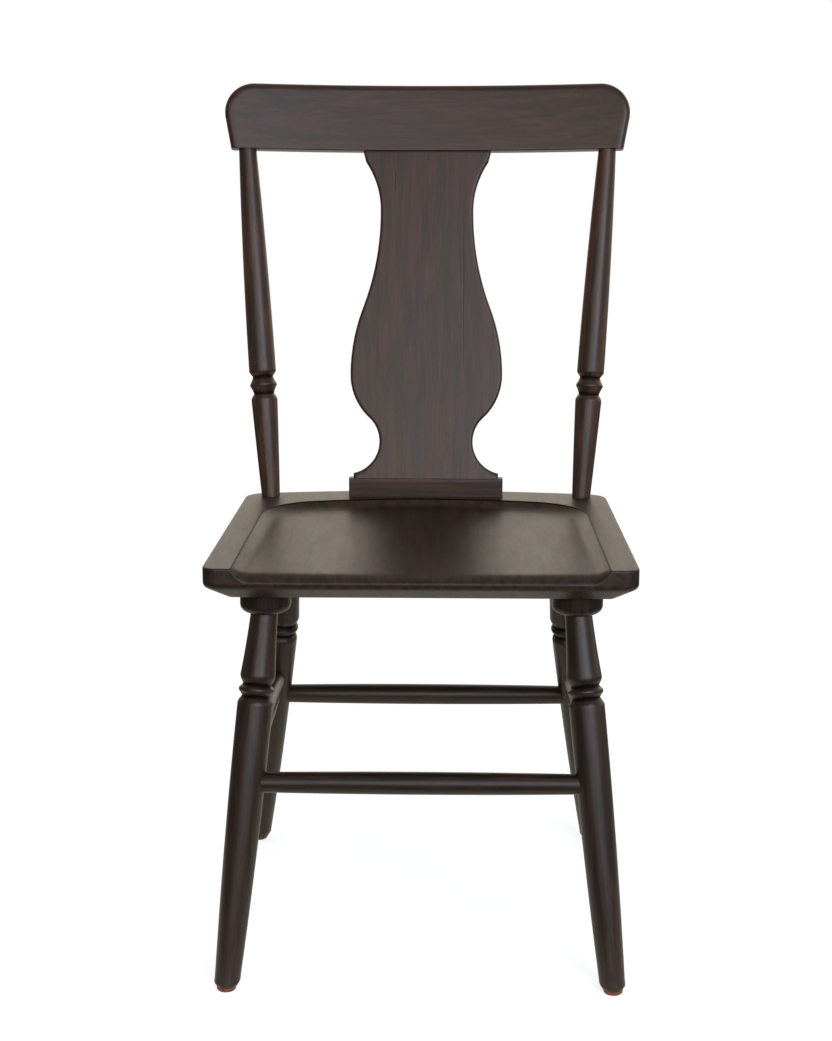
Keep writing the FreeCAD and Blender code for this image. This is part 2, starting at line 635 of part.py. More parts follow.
def splat_outline(length):
    """Half of the splat's front view, from its foot up: an urn between two waists."""
    low_centre = Vector(SPLAT_LOW_WAIST_HALF + SPLAT_LOW_WAIST_ARC, 0, SPLAT_LOW_WAIST_HEIGHT)
    low_arc = SPLAT_LOW_WAIST_ARC
    rise = SPLAT_BELLY_HEIGHT - SPLAT_LOW_WAIST_HEIGHT
    gap = low_centre.x - SPLAT_BELLY_HALF
    # The two arcs touch where the distance between their centres is the sum of their radii.
    round_arc = (gap ** 2 + rise ** 2 - low_arc ** 2) / (2 * (low_arc - gap))
    round_centre = Vector(SPLAT_BELLY_HALF - round_arc, 0, SPLAT_BELLY_HEIGHT)
    climb = SPLAT_WAIST_HEIGHT - SPLAT_BELLY_HEIGHT
    narrow = SPLAT_BELLY_HALF - SPLAT_WAIST_HALF
    waist_arc = (narrow ** 2 + climb ** 2) / (2 * narrow) - SPLAT_BELLY_ARC
    belly_centre = Vector(SPLAT_BELLY_HALF - SPLAT_BELLY_ARC, 0, SPLAT_BELLY_HEIGHT)
    waist_centre = Vector(SPLAT_WAIST_HALF + waist_arc, 0, SPLAT_WAIST_HEIGHT)
    neck_centre = Vector(SPLAT_WAIST_HALF + SPLAT_NECK_ARC, 0, SPLAT_NECK_START)

    def on_left(centre, arc, z):
        return Vector(centre.x - math.sqrt(arc ** 2 - (z - centre.z) ** 2), 0, z)

    def on_right(centre, arc, z):
        return Vector(centre.x + math.sqrt(arc ** 2 - (z - centre.z) ** 2), 0, z)

    def between(first, second):
        return (first + second) / 2

    heel = Vector(SPLAT_FOOT_HALF, 0, 0)
    instep_z = low_centre.z - math.sqrt(low_arc ** 2 - (low_centre.x - SPLAT_FOOT_HALF) ** 2)
    instep = Vector(SPLAT_FOOT_HALF, 0, instep_z)
    low_waist = Vector(SPLAT_LOW_WAIST_HALF, 0, SPLAT_LOW_WAIST_HEIGHT)
    turn = low_centre + (round_centre - low_centre) * (low_arc / (low_arc + round_arc))
    belly = Vector(SPLAT_BELLY_HALF, 0, SPLAT_BELLY_HEIGHT)
    ratio = SPLAT_BELLY_ARC / (SPLAT_BELLY_ARC + waist_arc)
    swing = belly_centre + (waist_centre - belly_centre) * ratio
    waist = Vector(SPLAT_WAIST_HALF, 0, SPLAT_WAIST_HEIGHT)
    neck = Vector(SPLAT_WAIST_HALF, 0, SPLAT_NECK_START)
    kink_z = SPLAT_NECK_START + math.sqrt(SPLAT_NECK_ARC ** 2 - (neck_centre.x - SPLAT_KINK_HALF) ** 2)
    kink = Vector(SPLAT_KINK_HALF, 0, kink_z)
    top = Vector(SPLAT_TOP_HALF, 0, length)
    steps = [("line", heel, None, instep)]
    steps.append(("arc", instep, on_left(low_centre, low_arc, (instep_z + low_waist.z) / 2), low_waist))
    steps.append(("arc", low_waist, on_left(low_centre, low_arc, between(low_waist, turn).z), turn))
    steps.append(("arc", turn, on_right(round_centre, round_arc, between(turn, belly).z), belly))
    steps.append(("arc", belly, on_right(belly_centre, SPLAT_BELLY_ARC, between(belly, swing).z), swing))
    steps.append(("arc", swing, on_left(waist_centre, waist_arc, between(swing, waist).z), waist))
    steps.append(("line", waist, None, neck))
    steps.append(("arc", neck, on_left(neck_centre, SPLAT_NECK_ARC, between(neck, kink).z), kink))
    steps.append(("line", kink, None, top))
    return steps


def splat_face(length):
    def mirror(point):
        return Vector(-point.x, 0, point.z)

    edges = []
    steps = splat_outline(length)
    for kind, start, middle, end in steps:
        for flip in (lambda point: point, mirror):
            if kind == "line":
                edges.append(Part.makeLine(flip(start), flip(end)))
            else:
                edges.append(Part.Arc(flip(start), flip(middle), flip(end)).toShape())
    heel = steps[0][1]
    top = steps[-1][3]
    edges.append(Part.makeLine(mirror(heel), heel))
    edges.append(Part.makeLine(mirror(top), top))
    return Part.Face(Part.Wire(Part.__sortEdges__(edges)))


def splat_place(post):
    """The splat's frame, from the middle of the shoe's top to the middle of the rail's underside."""
    foot = SEAT_PLACE.multVec(Vector(0, SHOE_FRONT_Y + SHOE_THICKNESS / 2, SHOE_HEIGHT))
    head = crest_place(post).multVec(Vector(0, crest_middle(post), 0))
    span = head - foot
    lean = math.degrees(math.atan2(span.y, span.z))
    return Placement(foot, Rotation(Vector(1, 0, 0), -lean)), span.Length


def tongue(place, half, low, high, room):
    half_width = half + room
    thickness = TONGUE_THICKNESS + 2 * room
    block = Part.makeBox(2 * half_width, thickness, high - low + room,
                         Vector(-half_width, -thickness / 2, low - room / 2))
    return placed(block, place)


def splat_tongues(post, room=0.0):
    """The thinner tongues at the splat's foot and head, or the grooves that take them."""
    place, length = splat_place(post)
    reach = TONGUE_DEPTH + 2 * room
    foot = tongue(place, SPLAT_FOOT_HALF - TONGUE_INSET, -reach, TONGUE_ROOT, room)
    head = tongue(place, SPLAT_KINK_HALF - TONGUE_INSET, length - TONGUE_ROOT, length + reach, room)
    return foot, head


def splat_solid(post):
    place, length = splat_place(post)
    board = splat_face(length).extrude(Vector(0, SPLAT_THICKNESS, 0))
    board.translate(Vector(0, -SPLAT_THICKNESS / 2, 0))

    def long_edge(box):
        return box.YLength < TINY < box.ZLength

    board = board.makeFillet(SPLAT_EDGE_ROUND, outer_edges(board, long_edge))
    inner_half = SPLAT_FOOT_HALF - SPLAT_EDGE_ROUND
    below = Part.makeBox(2 * inner_half, SPLAT_THICKNESS, SPLAT_THICKNESS,
                         Vector(-inner_half, -SPLAT_THICKNESS / 2, -SPLAT_THICKNESS))
    board = placed(board.fuse(below), place)
    board = board.cut(slab_above(crest_place(post), 0))
    shoe_top = SEAT_PLACE.multVec(Vector(0, 0, SHOE_HEIGHT))
    turned_over = Placement(shoe_top, Rotation(Vector(1, 0, 0), 180 - SEAT_SLOPE))
    board = board.cut(slab_above(turned_over, 0))
    foot, head = splat_tongues(post)
    return board.fuse([foot, head]).removeSplitter()


def shoe_solid(post, screws):
    """The plain block on the seat that the splat's foot stands in."""
    block = Part.makeBox(SHOE_WIDTH, SHOE_THICKNESS, SHOE_HEIGHT,
                         Vector(-SHOE_WIDTH / 2, SHOE_FRONT_Y, 0))

    def upper(box):
        return box.ZMax > SHOE_HEIGHT - TINY

    block = block.makeFillet(SHOE_ROUND, outer_edges(block, upper))
    groove = splat_tongues(post, FIT)[0]
    return placed(block, SEAT_PLACE).cut([groove, screws])


def screw_solid(side, room=0.0):
    """A screw from the recess under the seat up into the shoe."""
    base = Vector(side * SHOE_SCREW_X, SHOE_FRONT_Y + SHOE_THICKNESS / 2, SCREW_RECESS_Z)
    head_drop = Vector(0, 0, -SCREW_HEAD_HEIGHT)
    up = Vector(0, 0, 1)
    head = cone(base + head_drop, up, SCREW_HEAD_RADIUS + room, SCREW_RADIUS + room, SCREW_HEAD_HEIGHT)
    shank = Part.makeCylinder(SCREW_RADIUS + room, SCREW_LENGTH + room, base, up)
    return placed(head.fuse(shank).removeSplitter(), SEAT_PLACE)


def screw_recess(side):
    base = Vector(side * SHOE_SCREW_X, SHOE_FRONT_Y + SHOE_THICKNESS / 2, -2 * SEAT_THICKNESS)
    depth = 2 * SEAT_THICKNESS + SCREW_RECESS_Z - SCREW_HEAD_HEIGHT
    return placed(Part.makeCylinder(SCREW_HEAD_RADIUS + SCREW_RECESS_ROOM, depth, base), SEAT_PLACE)


# Assembly


def build_legs():
    legs = {}
    for side_name, side in SIDES.items():
        legs["front_" + side_name] = Leg(side, FRONT_LEG_X, FRONT_LEG_Y, FRONT_LEG_OUT, FRONT_LEG_FORWARD)
        legs["rear_" + side_name] = Leg(side, REAR_LEG_X, REAR_LEG_Y, REAR_LEG_OUT, -REAR_LEG_BACK)
    return legs


def stretcher_runs():
    """Each stretcher's name, the two legs that it joins, and its height."""
    runs = [("front_stretcher", "front_left", "front_right", CROSS_STRETCHER_HEIGHT)]
    runs.append(("rear_stretcher", "rear_left", "rear_right", CROSS_STRETCHER_HEIGHT))
    for side_name in SIDES:
        name = "side_stretcher_" + side_name
        runs.append((name, "front_" + side_name, "rear_" + side_name, SIDE_STRETCHER_HEIGHT))
    return runs


def build_chair():
    nodes = {}
    legs = build_legs()
    leg_cuts = {name: [] for name in legs}
    for name, first, second, height in stretcher_runs():
        start = legs[first].at_height(height)
        end = legs[second].at_height(height)
        nodes[name] = stretcher_solid(start, end)
        leg_cuts[first].append(stretcher_socket(legs[first], legs[second], height))
        leg_cuts[second].append(stretcher_socket(legs[second], legs[first], height))
    nails = []
    for name, leg in legs.items():
        nail_room = nail_solid(leg, FIT)
        nails.append(nail_solid(leg))
        nodes["leg_" + name] = leg_solid(leg).cut(leg_cuts[name] + [nail_room])
        nodes["leg_boss_" + name] = boss_solid(leg)
        nodes["foot_glide_" + name] = glide_solid(leg, nail_room)
    nodes["glide_nails"] = Part.makeCompound(nails)
    posts = {name: Post(side) for name, side in SIDES.items()}
    post = posts["right"]
    brads = []
    for name, one in posts.items():
        hole = brad_solid(one, FIT)
        brads.append(brad_solid(one))
        nodes["back_post_" + name] = post_solid(one).cut(hole)
    nodes["crest_brads"] = Part.makeCompound(brads)
    rail_cuts = [one.head_socket() for one in posts.values()]
    rail_cuts += [brad_solid(one, FIT) for one in posts.values()]
    rail_cuts.append(splat_tongues(post, FIT)[1])
    nodes["crest_rail"] = crest_solid(post, rail_cuts)
    nodes["back_splat"] = splat_solid(post)
    screw_room = Part.makeCompound([screw_solid(side, FIT) for side in SIDES.values()])
    nodes["splat_shoe"] = shoe_solid(post, screw_room)
    nodes["shoe_screws"] = Part.makeCompound([screw_solid(side) for side in SIDES.values()])
    seat_cuts = [leg.socket() for leg in legs.values()]
    seat_cuts += [one.foot_socket() for one in posts.values()]
    seat_cuts += [screw_recess(side) for side in SIDES.values()]
    seat_cuts.append(screw_room)
    nodes["seat"] = seat(seat_cuts)
    return nodes


def centred(nodes):
    """Moves the chair so that the middle of its box stands over the origin."""
    box = FreeCAD.BoundBox()
    for shape in nodes.values():
        box.add(shape.optimalBoundingBox(False, False))
    shift = Vector(-box.Center.x, -box.Center.y, -box.ZMin)
    moved = {}
    for name, shape in nodes.items():
        moved[name] = placed(shape, Placement(shift, Rotation()))
    return moved, shift, box


def main():
    os.makedirs("parts", exist_ok=True)
    nodes, shift, box = centred(build_chair())
    for name, shape in sorted(nodes.items()):
        shape.exportStep(os.path.join("parts", name + ".step"))
        print("%-24s solids %d valid %s volume %.1f" % (name, len(shape.Solids), shape.isValid(),
                                                       shape.Volume / 1000))
    print("size %.1f x %.1f x %.1f, seat front edge at y = %.1f" % (box.XLength, box.YLength,
                                                                    box.ZLength, shift.y))


main()
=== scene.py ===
import math

import bmesh
import bpy
import numpy as np
from mathutils import Matrix, Vector

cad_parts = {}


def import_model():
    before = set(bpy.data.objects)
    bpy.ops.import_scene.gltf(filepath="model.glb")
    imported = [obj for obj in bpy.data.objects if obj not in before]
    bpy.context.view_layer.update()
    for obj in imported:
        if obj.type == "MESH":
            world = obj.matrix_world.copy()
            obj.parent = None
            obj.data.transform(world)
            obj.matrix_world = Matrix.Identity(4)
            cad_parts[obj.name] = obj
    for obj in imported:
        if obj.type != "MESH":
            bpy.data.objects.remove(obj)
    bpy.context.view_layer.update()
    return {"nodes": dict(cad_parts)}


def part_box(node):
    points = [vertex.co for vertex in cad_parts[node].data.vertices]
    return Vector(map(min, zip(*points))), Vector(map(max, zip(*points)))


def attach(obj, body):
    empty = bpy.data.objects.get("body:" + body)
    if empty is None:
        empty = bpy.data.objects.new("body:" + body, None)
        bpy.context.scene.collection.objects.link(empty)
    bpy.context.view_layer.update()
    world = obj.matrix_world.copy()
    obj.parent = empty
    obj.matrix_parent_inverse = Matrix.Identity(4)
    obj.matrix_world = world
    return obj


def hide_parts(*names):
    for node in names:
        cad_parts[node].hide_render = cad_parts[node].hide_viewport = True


# A dark stained side chair: turned legs and posts, a scooped seat, a bent crest rail and an urn splat.
# Metres. The front faces -Y, +X is to the viewer's right, +Z is up, and the floor is z = 0.

# Seat board, in a frame of its own: y = 0 is its front edge and z = 0 its flat rim
SEAT_FRONT_Y = -0.2290
SEAT_HEIGHT = 0.4547
SEAT_SLOPE = math.radians(1.15)
SEAT_FRONT_WIDTH = 0.4576
SEAT_SIDE_TAPER = math.radians(1.3)
SEAT_DEPTH = 0.419
SEAT_REAR_ARC = 1.05
SEAT_THICKNESS = 0.0368
SEAT_EDGE_HEIGHT = 0.0212
SEAT_BEVEL_WIDTH = 0.025
SEAT_FRONT_CORNER = 0.015
SEAT_REAR_CORNER = 0.026
SEAT_BEVEL_CORNER = 0.005
SEAT_TOP_ROUND = 0.002
SEAT_BELLY_ROUND = 0.008
SEAT_BOTTOM_ROUND = 0.005
BEVEL_TURN = math.atan2(SEAT_BEVEL_WIDTH, SEAT_THICKNESS - SEAT_EDGE_HEIGHT)

# Scoop in the seat's top
RIM_WIDTH = 0.0305
RIM_REAR_WIDTH = 0.051
RIM_ARRIS = 0.0005
# Painted shade along the scoop's edge: how far in from it the dark line lies, and how far it spreads.
RIM_SHADE_INSET = 0.0005
RIM_SHADE_REACH = 0.0010
SCOOP_REAR_ARC = 0.540
SCOOP_REAR_CORNER = 0.078
SCOOP_DEPTH = 0.0095
SCOOP_SIDE_DEPTH = 0.0070
SCOOP_CROWN = 0.0015
COVE_FRONT_WIDTH = 0.018
COVE_REAR_WIDTH = 0.016
LIP_LENGTH = 0.020
LIP_DROP = 0.0148
LIP_CURVE = 3.2
LIP_EDGE_SHARPENING = 0.5

# Screws from under the seat, in their recesses
SCREW_X = 0.060
SCREW_RECESS_RADIUS = 0.0052
SCREW_RECESS_DEPTH = 0.0058

# Leg turning: barrel, ring between two grooves, vase
LEG_NECK_RADIUS = 0.0142
LEG_TENON_RADIUS = 0.0110
LEG_TENON_DEPTH = 0.020
LEG_BODY_RADIUS = 0.0192
LEG_FOOT_RADIUS = 0.0139
LEG_FOOT_FLARE = 0.0035
LEG_FOOT_BEVEL = 0.006
LEG_FOOT_LEDGE = 0.001
LEG_BARREL_SWELL = 0.78
LEG_VASE_RADIUS = 0.0189
LEG_VASE_BEND = 0.55
LEG_VASE_SWELL = 0.47
LEG_NECK_LENGTH = 0.006
LEG_RING_DROP = 0.1092
LEG_GROOVE_BELOW = 0.0070
LEG_GROOVE_ABOVE = 0.0063
LEG_GROOVE_RADIUS = 0.0151
LEG_SHOULDER = 0.010
LEG_PLAIN_FOOT = 0.016
LEG_WASTE = 0.010
LEG_LEVEL_REACH = 0.060
LEG_LEVEL_END = 0.020
BOSS_RADIUS = 0.0275
BOSS_HEIGHT = 0.0235
BOSS_ROUND = 0.0085
GLIDE_RADIUS = 0.0104
GLIDE_HEIGHT = 0.005
GLIDE_ROUND = 0.0024
STRETCHER_RADIUS = 0.0123
STRETCHER_END_RADIUS = 0.0110
STRETCHER_SOCKET = 0.016
LEG_BURIED = 0.005

# Rings turned on the legs and posts: a crowned ridge between two grooves, each with a shoulder
RING_CROWN = 0.0024
RING_CROWN_DROP = 0.0008
RING_HOLLOW = 0.0003
SHOULDER_START = 0.38
SHOULDER_START_RISE = 0.62
SHOULDER_BEND = 0.6
SHOULDER_BEND_RISE = 0.88

# Back posts
POST_X = 0.190
POST_Y = 0.385
POST_LEAN = math.radians(11.3)
POST_SPLAY = math.radians(4.0)
POST_LENGTH = 0.4222
POST_FOOT_RADIUS = 0.0111
POST_BODY_RADIUS = 0.0164
POST_TOP_RADIUS = 0.0106
POST_RING_HEIGHT = 0.1355
POST_WAIST_RADIUS = 0.0159
POST_FOOT_BEND = 0.6
POST_FOOT_SWELL = 0.66
POST_TOP_THINNING = 0.29
POST_GROOVE_BELOW = 0.0109
POST_GROOVE_ABOVE = 0.0101
POST_GROOVE_RADIUS = 0.0122
POST_SHOULDER = 0.0085
POST_BURIED = 0.010

# Crest rail
CREST_WIDTH = 0.4914
CREST_HEIGHT = 0.080
CREST_THICKNESS = 0.022
CREST_BOW = 0.023
CREST_CORNER = 0.036
CREST_END_TAPER = math.radians(10.5)
CREST_FRONT_ROUND = 0.008
CREST_REAR_ROUND = 0.005
CREST_BOTTOM_ROUND = 0.0008

# Splat and its shoe
SPLAT_THICKNESS = 0.012
SPLAT_FOOT_HALF = 0.0883
SPLAT_LOW_WAIST_HALF = 0.0570
SPLAT_LOW_WAIST_HEIGHT = 0.044
SPLAT_LOW_WAIST_ARC = 0.0397
SPLAT_BELLY_HALF = 0.0928
SPLAT_BELLY_HEIGHT = 0.126
SPLAT_BELLY_ARC = 0.232
SPLAT_WAIST_HALF = 0.0568
SPLAT_WAIST_HEIGHT = 0.324
SPLAT_NECK_ARC = 0.108
SPLAT_NECK_START = 0.327
SPLAT_KINK_HALF = 0.0750
SPLAT_TOP_HALF = 0.0783
SPLAT_EDGE_ROUND = 0.0035
SPLAT_BURIED = 0.004
SHOE_WIDTH = 0.1876
SHOE_HEIGHT = 0.0224
SHOE_THICKNESS = 0.015
SHOE_FRONT_Y = 0.379
SHOE_ROUND = 0.0015
SHOE_BURIED = 0.0004

# Where the board meshes have their rows and columns, in from an edge and close together on the rounds
CREST_FOOT_ROWS = (0.0, 0.0002, 0.0008, 0.003, 0.007)
CREST_FACE_START = 0.012
CREST_FACE_ROWS = 7
CREST_SHOULDER_TURNS = np.radians(np.arange(4, 91, 4.3))
CREST_COLUMNS = (0.0, 0.00015, 0.0005, 0.0011, 0.0019, 0.0029, 0.0042, 0.006, 0.0085, 0.012, 0.018, 0.027)
CREST_SPACING = 0.009
SPLAT_COLUMNS = (0.0, 0.00012, 0.0004, 0.0008, 0.0013, 0.0019, 0.0027, 0.0036, 0.0055, 0.009)
SPLAT_FACE_COLUMNS = 15
SPLAT_HEAD_SHARES = (0.15, 0.5, 0.8, 1.0)
SHOE_ROWS = (-SHOE_BURIED, 0.004, 0.010, 0.016, SHOE_HEIGHT - SHOE_ROUND)
SHOE_ROUND_TURNS = np.radians([25, 50, 70, 90])
SHOE_COLUMNS = (0.0, 0.00015, 0.0005, 0.0010, 0.0015, 0.004)
SHOE_SPACING = 0.012

# Points round the seat's outline, and rings over it
FRONT_SHARES = np.concatenate([np.linspace(0, 0.80, 25), np.linspace(0.81, 0.965, 28), [0.98, 1.0]])
CORNER_STEPS = 10
SIDE_STEPS = 48
REAR_STEPS = 28
SEAT_MIDDLE_SHARE = 0.47
FLOOR_RINGS = 14
COVE_RINGS = (0.034, 0.027, 0.022, 0.018, 0.015, 0.0125, 0.0105, 0.009, 0.0077, 0.0065, 0.0054, 0.0044,
              0.0034, 0.0024, 0.0015, 0.0009, 0.0005, 0.0002, 0.0)
RIM_RINGS = (0.0002, 0.0005, 0.0009)
RIM_RING_ROOM = 0.3
FACE_RINGS = 6
EDGE_MARGIN = 0.003
EDGE_MARGIN_REACHED = 0.0031
SLOPE_PROBE = 0.001
STEEPEST_SLOPE = 0.35
LINE_SEARCHES = 40
ROUND_RINGS = 5
BELLY_RINGS = 14
BEVEL_SHARES = (0.25, 0.6, 1.0)
BOTTOM_ROUND_SHARES = (0.33, 0.67, 1.0)
BOTTOM_EDGE_SHARE = 0.97
BOTTOM_SHARES = (0.75, 0.4)

# Which way the grain runs: the axes across, through and along it
GRAIN_ALONG_X = [1, 2, 0]
GRAIN_ALONG_Y = [0, 2, 1]
GRAIN_ALONG_Z = [0, 1, 2]
SHOE_GRAIN_SHIFT = (0.3, 0.1, 0.0)

# The photograph's camera
CAMERA_PLACE = (0.0348, -2.2366, 0.98625)
CAMERA_PITCH = math.radians(13.41)
CAMERA_YAW = math.radians(-1.12)
PHOTO_HEIGHT = 1041
FOCAL_PIXELS = 2001.6
SENSOR = 36.0

# How finely outlines are drawn
ARC_STEP = 0.0012
FINE_STEP = 0.001
LONG_STEP = 0.008
SPLAT_STEP = 0.0022
EASE = 0.0004
EASE_SHARE = 0.45
WELD = 1e-6
RECESS_SIDES = 40
SHARP_TURN = math.radians(14)
SMOOTH_LIMIT = math.radians(50)

# Turned kinds: sides, where in its timber the first piece lies, how far on the next ones lie, and a painted
# shade shift over the whole piece
TURNED_KINDS = {
    "leg": (72, (0.02, 0.0, 0.0), (0.11, 0.05, 0.37), 0.0),
    # The bosses and the stretchers are darkened all over by their shift: painted shade, darker under the
    # seat.
    "boss": (80, (0.0, 0.2, 0.1), (0.3, 0.0, 0.0), -0.40),
    "glide": (48, (0.0, 0.0, 0.0), (0.0, 0.0, 0.0), 0.0),
    "stretcher": (48, (0.0, 0.4, 0.0), (0.07, 0.0, 0.6), -0.15),
    "post": (64, (0.5, 0.3, 0.0), (0.2, 0.0, 0.9), 0.0)}

SIDES = {"left": -1.0, "right": 1.0}
WHITE = (1.0, 1.0, 1.0)
SCREEN_FULL = 255
SCREEN_OFFSET = 0.055
SCREEN_POWER = 2.4
ROUND_MIDDLE = 1 - math.sqrt(0.5)


# Plane outlines


def circle_centre(first, middle, last):
    """The centre of the circle through three points of a plane."""
    first, middle, last = (np.array(point, float) for point in (first, middle, last))
    rows = 2 * np.array([middle - first, last - first])
    sums = [middle @ middle - first @ first, last @ last - first @ first]
    return np.linalg.solve(rows, sums)


def arc_points(first, middle, last, step=ARC_STEP):
    """Points along the arc from first through middle to last, leaving out first itself."""
    centre = circle_centre(first, middle, last)
    angles = [math.atan2(*(np.array(point) - centre)[::-1]) for point in (first, middle, last)]
    sweep = (angles[2] - angles[0]) % math.tau
    if (angles[1] - angles[0]) % math.tau > sweep:
        sweep -= math.tau
    radius = np.linalg.norm(np.array(first) - centre)
    count = max(3, math.ceil(abs(sweep) * radius / step))
    turns = angles[0] + sweep * np.arange(1, count + 1) / count
    return [tuple(centre + radius * np.array([math.cos(turn), math.sin(turn)])) for turn in turns]


def arc_about(centre, start, end, step):
    """The shorter arc about a centre from start to end, leaving out start itself."""
    centre = np.array(centre, float)
    radius = np.linalg.norm(np.array(start) - centre)
    halfway = (np.array(start) + np.array(end)) / 2 - centre
    middle = centre + halfway / np.linalg.norm(halfway) * radius
    return arc_points(start, middle, end, step)


def eased(points):
    """The same outline with a small round cut across each sharp corner."""
    points = [np.array(point, float) for point in points]
    kept = [points[0]]
    for before, corner, after in zip(points, points[1:], points[2:]):
        arrive = corner - before
        leave = after - corner
        lengths = np.linalg.norm(arrive), np.linalg.norm(leave)
        turn = math.acos(max(-1.0, min(1.0, arrive @ leave / (lengths[0] * lengths[1]))))
        if turn < SHARP_TURN:
            kept.append(corner)
            continue
        start = corner - arrive / lengths[0] * min(EASE, EASE_SHARE * lengths[0])
        end = corner + leave / lengths[1] * min(EASE, EASE_SHARE * lengths[1])
        kept += [start, (start + 2 * corner + end) / 4, end]
    return np.array(kept + [points[-1]])


class Turning:
    """Half the outline of a turned piece: distance along its axis, and radius."""

    def __init__(self, distance, radius):
        self.points = [(distance, radius)]

    def line(self, distance, radius):
        self.points.append((distance, radius))

    def arc(self, middle_distance, middle_radius, distance, radius):
        start = self.points[-1]
        self.points += arc_points(start, (middle_distance, middle_radius), (distance, radius))


# Frames that the pieces are placed in


def seat_place():
    return Matrix.Translation((0, SEAT_FRONT_Y, SEAT_HEIGHT)) @ Matrix.Rotation(-SEAT_SLOPE, 4, "X")


def along(origin, direction):
    """The matrix that carries +Z onto a direction and the origin onto a point."""
    turn = Vector((0, 0, 1)).rotation_difference(direction)
    return Matrix.Translation(origin) @ turn.to_matrix().to_4x4()


def box_centre(node):
    low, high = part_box(node)
    return (low + high) / 2


class Leg:
    """One leg's axis, from the middle of its glide on the floor through the middle of its boss."""

    def __init__(self, name):
        self.foot = box_centre("foot_glide_" + name)
        self.foot.z = 0
        self.boss = box_centre("leg_boss_" + name)
        self.up = (self.boss - self.foot).normalized()
        seat_up = seat_place().to_3x3() @ Vector((0, 0, 1))
        underside = seat_place() @ Vector((0, 0, -SEAT_THICKNESS))
        self.length = (underside - self.foot).dot(seat_up) / self.up.dot(seat_up)

    def at_height(self, z):
        return self.foot + self.up * (z / self.up.z)


class Post:
    """One back post's axis, from its foot on the rim to the crest rail's underside."""

    def __init__(self, side):
        self.foot = seat_place() @ Vector((side * POST_X, POST_Y, 0))
        self.up = Vector((side * math.tan(POST_SPLAY), math.tan(POST_LEAN), 1)).normalized()
        self.head = self.foot + self.up * POST_LENGTH


def crest_place():
    """The rail's frame: its underside at z = 0, and the posts' heads on y = 0."""
    head = Post(SIDES["right"]).head
    return Matrix.Translation((0, head.y, head.z)) @ Matrix.Rotation(-POST_LEAN, 4, "X")


def crest_arc():
    half = CREST_WIDTH / 2
    return (half ** 2 + CREST_BOW ** 2) / (2 * CREST_BOW)


def crest_middle():
    """How far the rail's middle stands behind the posts' heads."""
    radius = crest_arc()
    return radius - math.sqrt(radius ** 2 - Post(SIDES["right"]).head.x ** 2)


def splat_place():
    """The splat's frame, on the middle of the shoe's top, and its length up to the rail."""
    foot = seat_place() @ Vector((0, SHOE_FRONT_Y + SHOE_THICKNESS / 2, SHOE_HEIGHT))
    head = crest_place() @ Vector((0, crest_middle(), 0))
    span = head - foot
    lean = math.atan2(span.y, span.z)
    return Matrix.Translation(foot) @ Matrix.Rotation(-lean, 4, "X"), span.length


# Helpers for objects and nodes


def in_scene(name, data):
    """A new object of this data, at the origin and in the scene."""
    placed = bpy.data.objects.new(name, data)
    bpy.context.scene.collection.objects.link(placed)
    return placed


def with_modifier_applied(piece, modifier):
    """Gives a piece the plain mesh that its modifier makes, and takes the modifier off."""
    depsgraph = bpy.context.evaluated_depsgraph_get()
    mesh = bpy.data.meshes.new_from_object(piece.evaluated_get(depsgraph), depsgraph=depsgraph)
    piece.modifiers.remove(modifier)
    piece.data = mesh


def new_finish(name):
    """A new material, with its tree and its main shader."""
    material = bpy.data.materials.new(name)
    material.use_nodes = True
    return material, material.node_tree, material.node_tree.nodes["Principled BSDF"]


def add_node(tree, kind, inputs=(), **settings):
    """A node with some settings, whose named or numbered inputs are values or other sockets."""
    made = tree.nodes.new(kind)
    for name, value in settings.items():
        setattr(made, name, value)
    for name, value in dict(inputs).items():
        if isinstance(value, bpy.types.NodeSocket):
            tree.links.new(value, made.inputs[name])
        else:
            made.inputs[name].default_value = value
    return made


def math_node(tree, operation, first, second=0.0, clamp=False):
    made = add_node(tree, "ShaderNodeMath", {0: first, 1: second}, operation=operation, use_clamp=clamp)
    return made.outputs[0]


def vector_node(tree, operation, first, second=(0.0, 0.0, 0.0)):
    made = add_node(tree, "ShaderNodeVectorMath", {0: first, 1: second}, operation=operation)
    return made.outputs["Value" if operation in ("DOT_PRODUCT", "LENGTH") else "Vector"]


def between(tree, value, low, high, start=0.0, end=1.0):
    """Carries low to high onto start to end, held there past both."""
    made = add_node(tree, "ShaderNodeMapRange", {"Value": value, "From Min": low, "From Max": high,
                                                 "To Min": start, "To Max": end})
    made.interpolation_type = "SMOOTHSTEP"
    return made.outputs["Result"]


def mixed(tree, amount, first, second):
    made = add_node(tree, "ShaderNodeMix", data_type="RGBA", blend_type="MIX")
    for key, value in (("Factor", amount), (6, first), (7, second)):
        socket = made.inputs[key]
        if isinstance(value, bpy.types.NodeSocket):
            tree.links.new(value, socket)
        else:
            socket.default_value = value
    return made.outputs[2]


def paint(red, green, blue):
    """A colour as it looks on a screen, from 0 to 255, as the linear colour that shaders take."""
    shares = [value / SCREEN_FULL for value in (red, green, blue)]
    linear = [((share + SCREEN_OFFSET) / (1 + SCREEN_OFFSET)) ** SCREEN_POWER for share in shares]
    return (*linear, 1.0)


# Wood, plastic and steel

STAIN_DARK = paint(17, 13, 11)
STAIN_MIDDLE = paint(36, 28, 22)
STAIN_RED = paint(60, 39, 30)
STAIN_ASH = paint(54, 47, 41)
STAIN_WORN = paint(92, 72, 56)
# The darkest stain: real in the pores and checks, and also the colour of the painted shade.
POOLED_STAIN_AND_SHADE = paint(9, 7, 6)
TURNED_STAIN = (STAIN_MIDDLE, STAIN_RED)
POST_STAIN = (paint(56, 42, 34), paint(84, 56, 44))
BOARD_STAIN = (paint(50, 36, 29), paint(72, 45, 36))
GLOSS = 0.40
# The gloss left where the painted shade is full.
PAINTED_SHADE_GLOSS = 0.06
LACQUER_IOR = 1.5
CREST_WEAR = 0.45
SPLAT_WEAR = 0.35
SHOE_WEAR = 0.3
SPLAT_WEAR_WIDTH = 0.002

